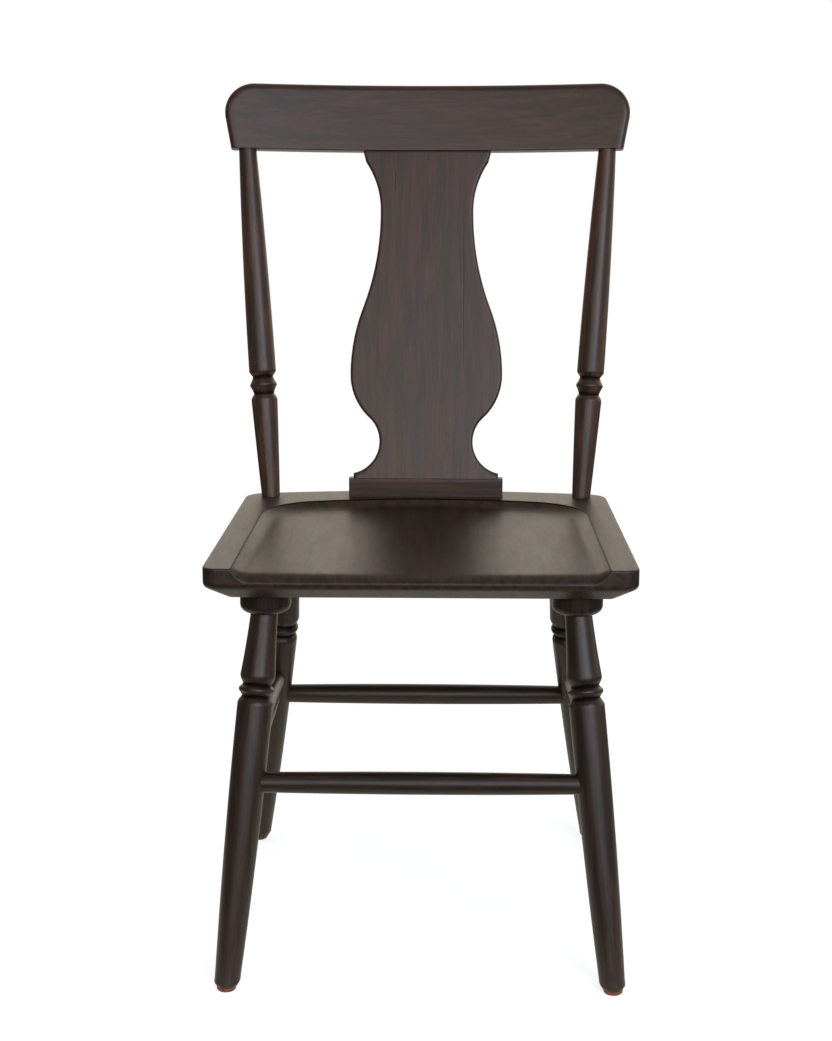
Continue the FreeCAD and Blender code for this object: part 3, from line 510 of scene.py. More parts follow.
# Figures in the wood: width across the grain, length along it, detail and waviness
BROAD_FIGURE = (0.009, 0.110, 4.0, 0.6)
ASH_FIGURE = (0.0036, 0.070, 4.0, 0.4)
STREAK_FIGURE = (0.0013, 0.036, 5.0, 0.4)
PORE_FIGURE = (0.0006, 0.010, 3.0)
WAVER_FIGURE = (0.030, 0.300, 3.0)
PATCHY_FIGURE = (0.006, 0.030, 4.0)
LACQUER_FIGURE = (0.012, 0.060, 3.0)
NOISE_ROUGHNESS = 0.6
RING_SPACING = 0.0032
RING_WAVER = 4

# Where in each figure's noise a stain comes in and is full, and how strong it then is
BROAD_RANGE = (0.40, 0.62)
ASH_RANGE = (0.50, 0.66)
STREAK_RANGE = (0.50, 0.70)
PORE_RANGE = (0.56, 0.70)
ASH_STRENGTH = 0.35
STREAK_STRENGTH = 0.65
RING_STRENGTH = 0.16
PORE_STRENGTH = 0.50
PORE_RELIEF = 0.5
STREAK_RELIEF = 0.75
MARK_RELIEF = 2.0
MARK_TAPER = 0.4
MARK_TIP = 0.1
MARK_FADE = (0.6, 1.4, 1.0, 0.0)
PORE_ROUGHNESS = 0.10
RUBBED_RANGE = (0.35, 0.65, 0.25, 0.9)
# Painted shade: the darkening from a value of -1 up to 0.
PAINTED_SHADE_RANGE = (-1.0, 0.0, 0.9, 0.0)
WOOD_ROUGHNESS = 0.36
WOOD_BUMP = (0.25, 0.00025)
SATIN_BELOW = 0.012
SATIN_ABOVE = 0.015
TONE_WINDOW = 0.006
TONE_SAMPLES = 9
FULL_TONE_DEPTH = 0.0016
BEAD_TONE = 0.12

# Plastic and steel
NOISE_RANGE = (0.3, 0.7)
PLASTIC_BROWN = paint(104, 56, 36)
PLASTIC_SCUFFED = paint(142, 84, 60)
PLASTIC_ROUGHNESS = (0.42, 0.6)
PLASTIC_BUMP = (0.3, 0.0001)
PLASTIC_SPECKLE = (420.0, 5.0)
SCUFF_RANGE = (0.35, 0.7)
ZINC_GREY = paint(150, 150, 152)
ZINC_BRIGHT = paint(196, 194, 188)
ZINC_ROUGHNESS = (0.28, 0.45)
ZINC_SPECKLE = (900.0, 4.0)


def grain_space(tree):
    """Where a point lies in its board or turning, with the grain along the third axis."""
    return add_node(tree, "ShaderNodeAttribute", attribute_name="wood_point").outputs["Vector"]


def stretched_noise(tree, place, across, length, detail, distortion=0.0):
    """Noise whose features are about so wide across the grain and so long along it."""
    scaled = vector_node(tree, "MULTIPLY", place, (1 / across, 1 / across, 1 / length))
    made = add_node(tree, "ShaderNodeTexNoise", {"Vector": scaled, "Scale": 1.0, "Detail": detail,
                                                 "Roughness": NOISE_ROUGHNESS, "Distortion": distortion})
    return made.outputs["Fac"]


def growth_rings(tree, place, heart):
    """Bands round a heart line that lies off to the side of the piece, wavering along the grain."""
    waver = stretched_noise(tree, place, *WAVER_FIGURE)
    from_heart = vector_node(tree, "SUBTRACT", place, heart)
    flat = vector_node(tree, "MULTIPLY", from_heart, (1.0, 1.0, 0.0))
    distance = vector_node(tree, "LENGTH", flat)
    moved = math_node(tree, "MULTIPLY_ADD", waver, RING_WAVER * RING_SPACING)
    tree.links.new(distance, moved.node.inputs[2])
    phase = math_node(tree, "MULTIPLY", moved, math.tau / RING_SPACING)
    wave = math_node(tree, "SINE", phase)
    return between(tree, wave, -1.0, 1.0)


def mark_amount(tree, place, start, end, half_width):
    """One on a short fine mark in the wood between two points, fading to nothing beside it."""
    start = Vector(start)
    run = Vector(end) - start
    offset = vector_node(tree, "SUBTRACT", place, tuple(start))
    share = math_node(tree, "DIVIDE", vector_node(tree, "DOT_PRODUCT", offset, tuple(run)),
                      run.length_squared, clamp=True)
    nearest = add_node(tree, "ShaderNodeVectorMath", {0: tuple(run)}, operation="SCALE")
    tree.links.new(share, nearest.inputs["Scale"])
    gap = vector_node(tree, "LENGTH", vector_node(tree, "SUBTRACT", offset, nearest.outputs[0]))
    # The share along the mark rises to a half and falls again, so that the mark is thin at both ends.
    thin = math_node(tree, "MULTIPLY", math_node(tree, "PINGPONG", share, 1 / 2), 2)
    thin = math_node(tree, "POWER", thin, MARK_TAPER)
    reach = math_node(tree, "MULTIPLY", thin, half_width)
    edge = math_node(tree, "DIVIDE", gap, math_node(tree, "MAXIMUM", reach, half_width * MARK_TIP))
    return between(tree, edge, *MARK_FADE)


def wood_figure(tree, place, heart, stain, figure):
    """The stained wood's colour, with its streaks and its open pores for the lacquer to follow."""
    broad = stretched_noise(tree, place, *BROAD_FIGURE)
    ash = between(tree, stretched_noise(tree, place, *ASH_FIGURE), *ASH_RANGE)
    streak = stretched_noise(tree, place, *STREAK_FIGURE)
    fine = stretched_noise(tree, place, *PORE_FIGURE)
    pores = between(tree, fine, *PORE_RANGE)
    colour = mixed(tree, between(tree, broad, *BROAD_RANGE), *stain)
    for amount, strength, darker in (
            (ash, ASH_STRENGTH, STAIN_ASH),
            (between(tree, streak, *STREAK_RANGE), STREAK_STRENGTH, STAIN_DARK),
            (growth_rings(tree, place, heart), RING_STRENGTH, STAIN_DARK),
            (pores, PORE_STRENGTH, POOLED_STAIN_AND_SHADE)):
        colour = mixed(tree, math_node(tree, "MULTIPLY", amount, strength * figure), colour, darker)
    relief = math_node(tree, "ADD", math_node(tree, "MULTIPLY", fine, PORE_RELIEF),
                       math_node(tree, "MULTIPLY", streak, STREAK_RELIEF))
    return colour, pores, relief


def rubbed_and_painted_shade(tree, place, wear_and_shade, colour):
    """Stain rubbed thin where the value is above zero, and painted shade in a darker colour where it is
    below.
    """
    patchy = stretched_noise(tree, place, *PATCHY_FIGURE)
    rubbed = math_node(tree, "MULTIPLY", between(tree, wear_and_shade, 0.0, 1.0),
                       between(tree, patchy, *RUBBED_RANGE))
    colour = mixed(tree, rubbed, colour, STAIN_WORN)
    # Painted shade below zero: in the grooves, along the seat's rim line, and over the bosses and the
    # stretchers.
    return mixed(tree, between(tree, wear_and_shade, *PAINTED_SHADE_RANGE), colour, POOLED_STAIN_AND_SHADE)


def stained_wood(name, heart, stain, dark_marks=(), light_marks=(), figure=1.0,
                 roughness=WOOD_ROUGHNESS):
    """Dark stained wood under a satin lacquer."""
    material, tree, shader = new_finish(name)
    shader.inputs["IOR"].default_value = LACQUER_IOR
    place = grain_space(tree)
    # Above zero this value is rubbed wear; below zero it is painted shade, which also dims the gloss.
    wear_and_shade = add_node(tree, "ShaderNodeAttribute", attribute_name="wear_and_shade").outputs["Fac"]
    gloss = between(tree, wear_and_shade, -1.0, 0.0, PAINTED_SHADE_GLOSS, GLOSS)
    tree.links.new(gloss, shader.inputs["Specular IOR Level"])
    colour, pores, relief = wood_figure(tree, place, heart, stain, figure)
    colour = rubbed_and_painted_shade(tree, place, wear_and_shade, colour)
    for start, end, half_width in light_marks:
        colour = mixed(tree, mark_amount(tree, place, start, end, half_width), colour, STAIN_WORN)
    for start, end, half_width in dark_marks:
        amount = mark_amount(tree, place, start, end, half_width)
        colour = mixed(tree, amount, colour, POOLED_STAIN_AND_SHADE)
        relief = math_node(tree, "SUBTRACT", relief, math_node(tree, "MULTIPLY", amount, MARK_RELIEF))
    tree.links.new(colour, shader.inputs["Base Color"])
    lacquer = stretched_noise(tree, place, *LACQUER_FIGURE)
    satin = between(tree, lacquer, *NOISE_RANGE, roughness - SATIN_BELOW, roughness + SATIN_ABOVE)
    satin = math_node(tree, "ADD", satin, math_node(tree, "MULTIPLY", pores, PORE_ROUGHNESS))
    tree.links.new(satin, shader.inputs["Roughness"])
    add_relief(tree, shader, relief, *WOOD_BUMP)
    return material


def add_relief(tree, shader, height, strength, depth):
    bump = add_node(tree, "ShaderNodeBump", {"Strength": strength, "Distance": depth, "Height": height})
    tree.links.new(bump.outputs["Normal"], shader.inputs["Normal"])


def speckle(tree, scale, detail):
    """Fine even noise over a piece that has no grain."""
    place = add_node(tree, "ShaderNodeTexCoord").outputs["Object"]
    made = add_node(tree, "ShaderNodeTexNoise", {"Vector": place, "Scale": scale, "Detail": detail})
    return made.outputs["Fac"]


def glide_plastic():
    """Reddish brown moulded plastic, slightly scuffed."""
    material, tree, shader = new_finish("brown_glide_plastic")
    scuff = speckle(tree, *PLASTIC_SPECKLE)
    colour = mixed(tree, between(tree, scuff, *SCUFF_RANGE), PLASTIC_BROWN, PLASTIC_SCUFFED)
    tree.links.new(colour, shader.inputs["Base Color"])
    tree.links.new(between(tree, scuff, *NOISE_RANGE, *PLASTIC_ROUGHNESS), shader.inputs["Roughness"])
    add_relief(tree, shader, scuff, *PLASTIC_BUMP)
    return material


def zinc_steel():
    """Zinc plated steel for the nails, brads and screws."""
    material, tree, shader = new_finish("zinc_steel")
    shader.inputs["Metallic"].default_value = 1.0
    spangle = speckle(tree, *ZINC_SPECKLE)
    colour = mixed(tree, between(tree, spangle, *NOISE_RANGE), ZINC_GREY, ZINC_BRIGHT)
    tree.links.new(colour, shader.inputs["Base Color"])
    tree.links.new(between(tree, spangle, *NOISE_RANGE, *ZINC_ROUGHNESS), shader.inputs["Roughness"])
    return material


# Turned pieces, all made by one tree


def turning_tree():
    """Carries a circle along a straight line of points, each with its own radius, and closes the ends."""
    tree = bpy.data.node_groups.new("turning", "GeometryNodeTree")
    for name, kind in (("Axis", "Geometry"), ("Sides", "Int"), ("Grain shift", "Vector"),
                       ("Finish", "Material")):
        tree.interface.new_socket(name, in_out="INPUT", socket_type="NodeSocket" + kind)
    tree.interface.new_socket("Piece", in_out="OUTPUT", socket_type="NodeSocketGeometry")
    given = tree.nodes.new("NodeGroupInput").outputs
    radius = add_node(tree, "GeometryNodeInputNamedAttribute", {"Name": "turned_radius"}, data_type="FLOAT")
    curve = add_node(tree, "GeometryNodeMeshToCurve", {"Mesh": given["Axis"]})
    circle = add_node(tree, "GeometryNodeCurvePrimitiveCircle",
                      {"Resolution": given["Sides"], "Radius": 1.0})
    skin = add_node(tree, "GeometryNodeCurveToMesh", {
        "Curve": curve.outputs[0], "Profile Curve": circle.outputs["Curve"],
        "Scale": radius.outputs["Attribute"], "Fill Caps": True})
    position = tree.nodes.new("GeometryNodeInputPosition").outputs[0]
    shifted = vector_node(tree, "ADD", position, given["Grain shift"])
    grain = add_node(tree, "GeometryNodeStoreNamedAttribute", data_type="FLOAT_VECTOR", domain="POINT")
    tree.links.new(skin.outputs["Mesh"], grain.inputs["Geometry"])
    grain.inputs["Name"].default_value = "wood_point"
    tree.links.new(shifted, grain.inputs["Value"])
    smooth = add_node(tree, "GeometryNodeSetShadeSmooth", {"Geometry": grain.outputs[0]})
    real = add_node(tree, "GeometryNodeRealizeInstances", {"Geometry": smooth.outputs[0]})
    finish = add_node(tree, "GeometryNodeSetMaterial",
                      {"Geometry": real.outputs[0], "Material": given["Finish"]})
    result = tree.nodes.new("NodeGroupOutput")
    tree.links.new(finish.outputs[0], result.inputs["Piece"])
    return tree


def ring_wear_and_shade(distances, radii):
    """How proud of its neighbours each ring of a turning is: below zero in grooves, where it becomes
    painted shade, and above on beads, where it becomes wear.
    """
    spans = np.linspace(-TONE_WINDOW, TONE_WINDOW, TONE_SAMPLES)
    nearby = np.mean([np.interp(distances + span, distances, radii) for span in spans], axis=0)
    return np.clip((radii - nearby) / FULL_TONE_DEPTH, -1.0, BEAD_TONE)


def set_attribute(mesh, name, values):
    """One number for each point of a mesh."""
    attribute = mesh.attributes.new(name, "FLOAT", "POINT")
    attribute.data.foreach_set("value", np.asarray(values, np.float32))


def modifier_input(modifier, name, value):
    """Sets one named input of a node modifier by its identifier."""
    for item in modifier.node_group.interface.items_tree:
        if item.item_type == "SOCKET" and item.in_out == "INPUT" and item.name == name:
            modifier[item.identifier] = value


def turned_piece(name, kind, number, turning, finish, tree):
    """The so-many-th turned piece of its kind, which stands on the origin along +Z."""
    sides, first_place, next_place, painted_shade_shift = TURNED_KINDS[kind]
    grain_shift = [start + step * number for start, step in zip(first_place, next_place)]
    outline = eased(turning.points)
    distances, radii = outline[:, 0], outline[:, 1]
    axis = bpy.data.meshes.new(name + "_axis")
    steps = [(first, first + 1) for first in range(len(distances) - 1)]
    axis.from_pydata([(0, 0, distance) for distance in distances], steps, [])
    # Wear on the beads, painted shade in the grooves, and the kind's painted shade shift over the whole
    # piece.
    wear_and_shade = np.maximum(ring_wear_and_shade(distances, radii) + painted_shade_shift, -1.0)
    set_attribute(axis, "turned_radius", radii)
    set_attribute(axis, "wear_and_shade", wear_and_shade)
    piece = in_scene(name, axis)
    modifier = piece.modifiers.new("turning", "NODES")
    modifier.node_group = tree
    modifier_input(modifier, "Sides", sides)
    modifier_input(modifier, "Grain shift", grain_shift)
    modifier_input(modifier, "Finish", finish)
    with_modifier_applied(piece, modifier)
    bpy.data.meshes.remove(axis)
    piece.data.name = name
    return piece


def shoulder_points(ring, side, groove, shoulder, groove_radius, body_radius):
    """From a groove out to the body: the groove, where the round starts, its middle and its end."""
    depth = body_radius - groove_radius
    start = ring + side * (groove + SHOULDER_START * shoulder)
    bend = ring + side * (groove + SHOULDER_BEND * shoulder)
    return [(ring + side * groove, groove_radius),
            (start, groove_radius + SHOULDER_START_RISE * depth),
            (bend, groove_radius + SHOULDER_BEND_RISE * depth),
            (ring + side * (groove + shoulder), body_radius)]


def turn_ring(turning, ring, crown_radius, lower, upper):
    """Goes on from the lower shoulder's end, down into a groove, over the ridge and up again."""
    turning.arc(*lower[2], *lower[1])
    turning.line(*lower[0])
    edge_radius = crown_radius - RING_CROWN_DROP
    hollow_radius = (lower[0][1] + edge_radius) / 2 - RING_HOLLOW
    turning.arc((lower[0][0] + ring - RING_CROWN) / 2, hollow_radius, ring - RING_CROWN, edge_radius)
    turning.arc(ring, crown_radius, ring + RING_CROWN, edge_radius)
    turning.arc((upper[0][0] + ring + RING_CROWN) / 2, hollow_radius, *upper[0])
    turning.line(*upper[1])
    turning.arc(*upper[2], *upper[3])


def leg_turning(length):
    """Barrel, ring between two grooves, vase, and the tapered tenon that enters the boss."""
    ring = length - LEG_RING_DROP
    lower = shoulder_points(ring, -1, LEG_GROOVE_BELOW, LEG_SHOULDER, LEG_GROOVE_RADIUS, LEG_BODY_RADIUS)
    upper = shoulder_points(ring, 1, LEG_GROOVE_ABOVE, LEG_SHOULDER, LEG_GROOVE_RADIUS, LEG_VASE_RADIUS)
    turning = Turning(-LEG_WASTE, LEG_FOOT_RADIUS)
    for rise in np.arange(0.0, LEG_PLAIN_FOOT + FINE_STEP / 2, FINE_STEP):
        turning.line(rise, LEG_FOOT_RADIUS)
    swell = LEG_FOOT_RADIUS + LEG_BARREL_SWELL * (LEG_BODY_RADIUS - LEG_FOOT_RADIUS)
    turning.arc((LEG_PLAIN_FOOT + lower[3][0]) / 2, swell, *lower[3])
    turn_ring(turning, ring, LEG_BODY_RADIUS, lower, upper)
    neck = length - BOSS_HEIGHT - LEG_NECK_LENGTH
    slope = (LEG_NECK_RADIUS - LEG_TENON_RADIUS) / (BOSS_HEIGHT + LEG_TENON_DEPTH)
    bend = ring + LEG_VASE_BEND * (neck - ring)
    bend_radius = LEG_NECK_RADIUS + LEG_VASE_SWELL * (LEG_BODY_RADIUS - LEG_NECK_RADIUS)
    turning.arc(bend, bend_radius, neck, LEG_NECK_RADIUS + slope * LEG_NECK_LENGTH)
    turning.line(length - BOSS_HEIGHT / 2, LEG_NECK_RADIUS)
    turning.line(length, LEG_NECK_RADIUS - slope * BOSS_HEIGHT)
    return turning


def saw_foot(mesh, leg):
    """Turns the lowest rings level, and bevels the foot down to its glide."""
    foot = leg.at_height(GLIDE_HEIGHT)
    for vertex in mesh.vertices:
        rise = (vertex.co - foot).dot(leg.up)
        if rise > LEG_LEVEL_REACH:
            continue
        on_axis = foot + leg.up * rise
        level = min(1.0, max(0.0, (LEG_LEVEL_REACH - rise) / (LEG_LEVEL_REACH - LEG_LEVEL_END)))
        vertex.co += leg.up * ((on_axis.z - vertex.co.z) / leg.up.z * level)
        height = max(0.0, vertex.co.z - GLIDE_HEIGHT)
        if height < LEG_FOOT_BEVEL:
            limit = GLIDE_RADIUS + LEG_FOOT_LEDGE + LEG_FOOT_FLARE * height / LEG_FOOT_BEVEL
            across = Vector((vertex.co.x - foot.x, vertex.co.y - foot.y))
            if across.length > limit:
                across *= limit / across.length
                vertex.co.x = foot.x + across.x
                vertex.co.y = foot.y + across.y
        vertex.co.z = max(vertex.co.z, GLIDE_HEIGHT)


def boss_turning():
    """A disc with a rounded lower edge, whose upper face lies against the seat."""
    turning = Turning(-BOSS_HEIGHT / 2, LEG_NECK_RADIUS)
    turning.line(-BOSS_HEIGHT / 2, BOSS_RADIUS - BOSS_ROUND)
    corner = BOSS_ROUND * ROUND_MIDDLE
    low = -BOSS_HEIGHT / 2
    turning.arc(low + corner, BOSS_RADIUS - corner, low + BOSS_ROUND, BOSS_RADIUS)
    turning.line(BOSS_HEIGHT / 2, BOSS_RADIUS)
    return turning


def glide_turning():
    turning = Turning(0.0, GLIDE_RADIUS / 2)
    turning.line(0.0, GLIDE_RADIUS - GLIDE_ROUND)
    corner = GLIDE_ROUND * ROUND_MIDDLE
    turning.arc(corner, GLIDE_RADIUS - corner, GLIDE_ROUND, GLIDE_RADIUS)
    turning.line(GLIDE_HEIGHT, GLIDE_RADIUS)
    return turning


def stretcher_turning(length):
    """A round rail with a gentle swell between plain ends."""
    turning = Turning(0.0, STRETCHER_END_RADIUS)
    turning.line(STRETCHER_SOCKET, STRETCHER_END_RADIUS)
    start = turning.points[-1]
    end = (length - STRETCHER_SOCKET, STRETCHER_END_RADIUS)
    turning.points += arc_points(start, (length / 2, STRETCHER_RADIUS), end, LONG_STEP)
    turning.line(length, STRETCHER_END_RADIUS)
    return turning


def post_turning():
    """A taper, a ring between two grooves, and a long upper taper into the rail."""
    ring = POST_RING_HEIGHT
    lower = shoulder_points(ring, -1, POST_GROOVE_BELOW, POST_SHOULDER, POST_GROOVE_RADIUS,
                            POST_WAIST_RADIUS)
    upper = shoulder_points(ring, 1, POST_GROOVE_ABOVE, POST_SHOULDER, POST_GROOVE_RADIUS,
                            POST_BODY_RADIUS)
    turning = Turning(-POST_BURIED, POST_FOOT_RADIUS - FINE_STEP)
    turning.line(0.0, POST_FOOT_RADIUS)
    swell = POST_FOOT_RADIUS + POST_FOOT_SWELL * (POST_BODY_RADIUS - POST_FOOT_RADIUS)
    turning.arc(POST_FOOT_BEND * ring, swell, *lower[3])
    turn_ring(turning, ring, POST_BODY_RADIUS, lower, upper)
    thinned = POST_BODY_RADIUS - POST_TOP_THINNING * (POST_BODY_RADIUS - POST_TOP_RADIUS)
    turning.arc((upper[3][0] + POST_LENGTH) / 2, thinned, POST_LENGTH, POST_TOP_RADIUS)
    turning.line(POST_LENGTH + POST_BURIED, POST_TOP_RADIUS)
    return turning


# Boards


def mesh_piece(name, points, faces, grain, wear_and_shade, finish):
    """A closed smooth piece from its points and faces, with the two attributes that the stain reads."""
    mesh = bpy.data.meshes.new(name)
    mesh.from_pydata([tuple(point) for point in points], [], faces)
    wood_point = mesh.attributes.new("wood_point", "FLOAT_VECTOR", "POINT")
    wood_point.data.foreach_set("vector", np.asarray(grain, np.float32).ravel())
    set_attribute(mesh, "wear_and_shade", wear_and_shade)
    shell = bmesh.new()
    shell.from_mesh(mesh)
    bmesh.ops.remove_doubles(shell, verts=shell.verts, dist=WELD)
    bmesh.ops.dissolve_degenerate(shell, edges=shell.edges, dist=WELD)
    bmesh.ops.recalc_face_normals(shell, faces=shell.faces)
    shell.to_mesh(mesh)
    shell.free()
    mesh.materials.append(finish)
    return in_scene(name, mesh)


def soft_edges(mesh):
    """Smooth shading, with only the true corners left sharp."""
    mesh.shade_smooth()
    mesh.set_sharp_from_angle(angle=SMOOTH_LIMIT)


def grid_faces(rows, columns, start, closed=False):
    """Quads between the rows of a grid of points that are numbered from start."""
    faces = []
    for row in range(rows - 1):
        for column in range(columns if closed else columns - 1):
            follow = (column + 1) % columns
            here = start + row * columns
            above = here + columns
            faces.append((here + column, here + follow, above + follow, above + column))
    return faces


def board_shell(front, rear):
    """Points and faces of a board from the grids of its two faces, joined round their borders."""
    rows, columns = front.shape[:2]
    count = rows * columns
    faces = grid_faces(rows, columns, 0) + grid_faces(rows, columns, count)
    border = [(0, column) for column in range(columns)]
    border += [(row, columns - 1) for row in range(1, rows)]
    border += [(rows - 1, column) for column in range(columns - 2, -1, -1)]
    border += [(row, 0) for row in range(rows - 2, 0, -1)]
    loop = [row * columns + column for row, column in border]
    for here, follow in zip(loop, loop[1:] + loop[:1]):
        faces.append((here, follow, follow + count, here + count))
    return np.concatenate([front.reshape(-1, 3), rear.reshape(-1, 3)]), faces


def board_piece(name, x, z, front_y, rear_y, wear_and_shade, grain_axes, finish, grain_shift=(0.0, 0.0, 0.0)):
    """A board between a front and a rear face over one grid, with its tone given on that grid."""
    points, faces = board_shell(np.stack([x, front_y, z], axis=-1), np.stack([x, rear_y, z], axis=-1))
    both_tones = np.concatenate([wear_and_shade.ravel(), wear_and_shade.ravel()])
    return mesh_piece(name, points, faces, points[:, grain_axes] + grain_shift, both_tones, finish)


def edge_wear(distance, width, wear):
    """Tone that is full on an edge and gone at a width from it."""
    return wear * (1 - np.clip(distance / width, 0, 1))


def rows_between_edges(halves, offsets, inner):
    """Positions across each row: close to both edges, then at shares of what is left between."""
    offsets = np.array(offsets)
    rows = []
    for half in halves:
        left = -half + offsets
        rows.append(np.concatenate([left, inner * (half - offsets[-1]), -left[::-1]]))
    return np.array(rows)


def from_edges(offsets, spacing, half):
    """Positions from one edge of a width to the other: close to the edges, then evenly spaced."""
    inner = half - offsets[-1]
    count = max(2, round(inner / spacing))
    middle = np.linspace(-inner, inner, 2 * count + 1)[1:-1]
    left = -half + np.array(offsets)
    return np.concatenate([left, middle, -left[::-1]])


def round_over(distance, radius):
    """How far a face falls back at a distance from an edge that is rounded over."""
    within = np.clip(radius - distance, 0.0, radius)
    return radius - np.sqrt(radius ** 2 - within ** 2)


def crest_edge_distance(x, z):
    """Distance inside the rail's outline from its top, ends and round shoulders."""
    across = np.abs(x)
    corner = np.array([CREST_WIDTH / 2 - CREST_CORNER, CREST_HEIGHT - CREST_CORNER])
    outward = np.array([math.cos(CREST_END_TAPER), -math.sin(CREST_END_TAPER)])
    from_corner = np.stack([across - corner[0], z - corner[1]], axis=-1)
    to_end = CREST_CORNER - from_corner @ outward
    to_top = CREST_HEIGHT - z
    past_end = outward[0] * from_corner[..., 1] - outward[1] * from_corner[..., 0] > 0
    in_shoulder = past_end & (from_corner[..., 0] > 0)
    to_shoulder = CREST_CORNER - np.linalg.norm(from_corner, axis=-1)
    return np.maximum(np.where(in_shoulder, to_shoulder, np.minimum(to_end, to_top)), 0.0)


def crest_half_width(z):
    """Half the rail's width at a height in its front view."""
    centre_x = CREST_WIDTH / 2 - CREST_CORNER
    centre_z = CREST_HEIGHT - CREST_CORNER
    tangent_x = centre_x + CREST_CORNER * math.cos(CREST_END_TAPER)
    tangent_z = centre_z - CREST_CORNER * math.sin(CREST_END_TAPER)
    if z < tangent_z:
        return tangent_x - (tangent_z - z) * math.tan(CREST_END_TAPER)
    return centre_x + math.sqrt(max(0.0, CREST_CORNER ** 2 - (z - centre_z) ** 2))


def crest_rail(finish):
    """A bent board with round shoulders, its front edge rounded over more than its rear."""
    shoulder = CREST_HEIGHT - CREST_CORNER
    heights = [*CREST_FOOT_ROWS, *np.linspace(CREST_FACE_START, shoulder, CREST_FACE_ROWS)]
    heights += [shoulder + CREST_CORNER * math.sin(turn) for turn in CREST_SHOULDER_TURNS[:-1]]
    heights.append(CREST_HEIGHT)
    count = len(CREST_COLUMNS)
    first_half = crest_half_width(heights[0])
    columns = from_edges(CREST_COLUMNS, CREST_SPACING, first_half)
    inner = columns[count:-count] / (first_half - CREST_COLUMNS[-1])
    x = rows_between_edges([crest_half_width(z) for z in heights], CREST_COLUMNS, inner)
    z = np.repeat(np.array(heights)[:, None], x.shape[1], axis=1)
    distance = crest_edge_distance(x, z)
    radius = crest_arc()
    centre_y = crest_middle() - radius
    foot = round_over(z, CREST_BOTTOM_ROUND)
    front_y = centre_y + np.sqrt((radius - CREST_THICKNESS / 2) ** 2 - x ** 2)
    rear_y = centre_y + np.sqrt((radius + CREST_THICKNESS / 2) ** 2 - x ** 2)
    front_y += np.maximum(round_over(distance, CREST_FRONT_ROUND), foot)
    rear_y -= np.maximum(round_over(distance, CREST_REAR_ROUND), foot)
    wear = edge_wear(distance, CREST_REAR_ROUND, CREST_WEAR)
    piece = board_piece("bent_crest_rail", x, z, front_y, rear_y, wear, GRAIN_ALONG_X, finish)
    piece.data.transform(crest_place())
    return piece


def splat_half_outline(length):
    """The splat's right edge from its foot up, as half width and height: an urn between two waists."""
    low_centre = np.array([SPLAT_LOW_WAIST_HALF + SPLAT_LOW_WAIST_ARC, SPLAT_LOW_WAIST_HEIGHT])
    rise = SPLAT_BELLY_HEIGHT - SPLAT_LOW_WAIST_HEIGHT
    gap = low_centre[0] - SPLAT_BELLY_HALF
    # The two arcs touch where the distance between their centres is the sum of their radii.
    round_arc = (gap ** 2 + rise ** 2 - SPLAT_LOW_WAIST_ARC ** 2) / (2 * (SPLAT_LOW_WAIST_ARC - gap))
    round_centre = np.array([SPLAT_BELLY_HALF - round_arc, SPLAT_BELLY_HEIGHT])
    climb = SPLAT_WAIST_HEIGHT - SPLAT_BELLY_HEIGHT
    narrow = SPLAT_BELLY_HALF - SPLAT_WAIST_HALF
    waist_arc = (narrow ** 2 + climb ** 2) / (2 * narrow) - SPLAT_BELLY_ARC
    belly_centre = np.array([SPLAT_BELLY_HALF - SPLAT_BELLY_ARC, SPLAT_BELLY_HEIGHT])
    waist_centre = np.array([SPLAT_WAIST_HALF + waist_arc, SPLAT_WAIST_HEIGHT])
    neck_centre = np.array([SPLAT_WAIST_HALF + SPLAT_NECK_ARC, SPLAT_NECK_START])
    instep_z = low_centre[1] - math.sqrt(SPLAT_LOW_WAIST_ARC ** 2 - (low_centre[0] - SPLAT_FOOT_HALF) ** 2)
    kink_z = SPLAT_NECK_START + math.sqrt(SPLAT_NECK_ARC ** 2 - (neck_centre[0] - SPLAT_KINK_HALF) ** 2)
    low_waist = (SPLAT_LOW_WAIST_HALF, SPLAT_LOW_WAIST_HEIGHT)
    low_share = SPLAT_LOW_WAIST_ARC / (SPLAT_LOW_WAIST_ARC + round_arc)
    turn = low_centre + (round_centre - low_centre) * low_share
    belly_share = SPLAT_BELLY_ARC / (SPLAT_BELLY_ARC + waist_arc)
    swing = belly_centre + (waist_centre - belly_centre) * belly_share
    belly = (SPLAT_BELLY_HALF, SPLAT_BELLY_HEIGHT)
    waist = (SPLAT_WAIST_HALF, SPLAT_WAIST_HEIGHT)
    neck = (SPLAT_WAIST_HALF, SPLAT_NECK_START)
    kink = (SPLAT_KINK_HALF, kink_z)
    points = [(SPLAT_FOOT_HALF, -SPLAT_BURIED), (SPLAT_FOOT_HALF, 0.0), (SPLAT_FOOT_HALF, instep_z / 2)]
    points.append((SPLAT_FOOT_HALF, instep_z))
    for centre, end in ((low_centre, low_waist), (low_centre, turn), (round_centre, belly),
                        (belly_centre, swing), (waist_centre, waist)):
        points += arc_about(centre, points[-1], end, SPLAT_STEP)
    points.append(neck)
    points += arc_about(neck_centre, neck, kink, SPLAT_STEP)
    for share in SPLAT_HEAD_SHARES:
        half = SPLAT_KINK_HALF + share * (SPLAT_TOP_HALF - SPLAT_KINK_HALF)
        points.append((half, kink_z + share * (length - kink_z)))
    points.append((SPLAT_TOP_HALF, length + SPLAT_BURIED))
    return np.array(points)


def outline_distance(x, z, outline):
    """Distance from each point to the nearest part of an open outline."""
    nearest = np.full(x.shape, 1.0)
    for start, end in zip(outline[:-1], outline[1:]):
        run = end - start
        share = np.clip(((x - start[0]) * run[0] + (z - start[1]) * run[1]) / (run @ run), 0, 1)
        gap = np.hypot(x - start[0] - share * run[0], z - start[1] - share * run[1])
        nearest = np.minimum(nearest, gap)
    return nearest


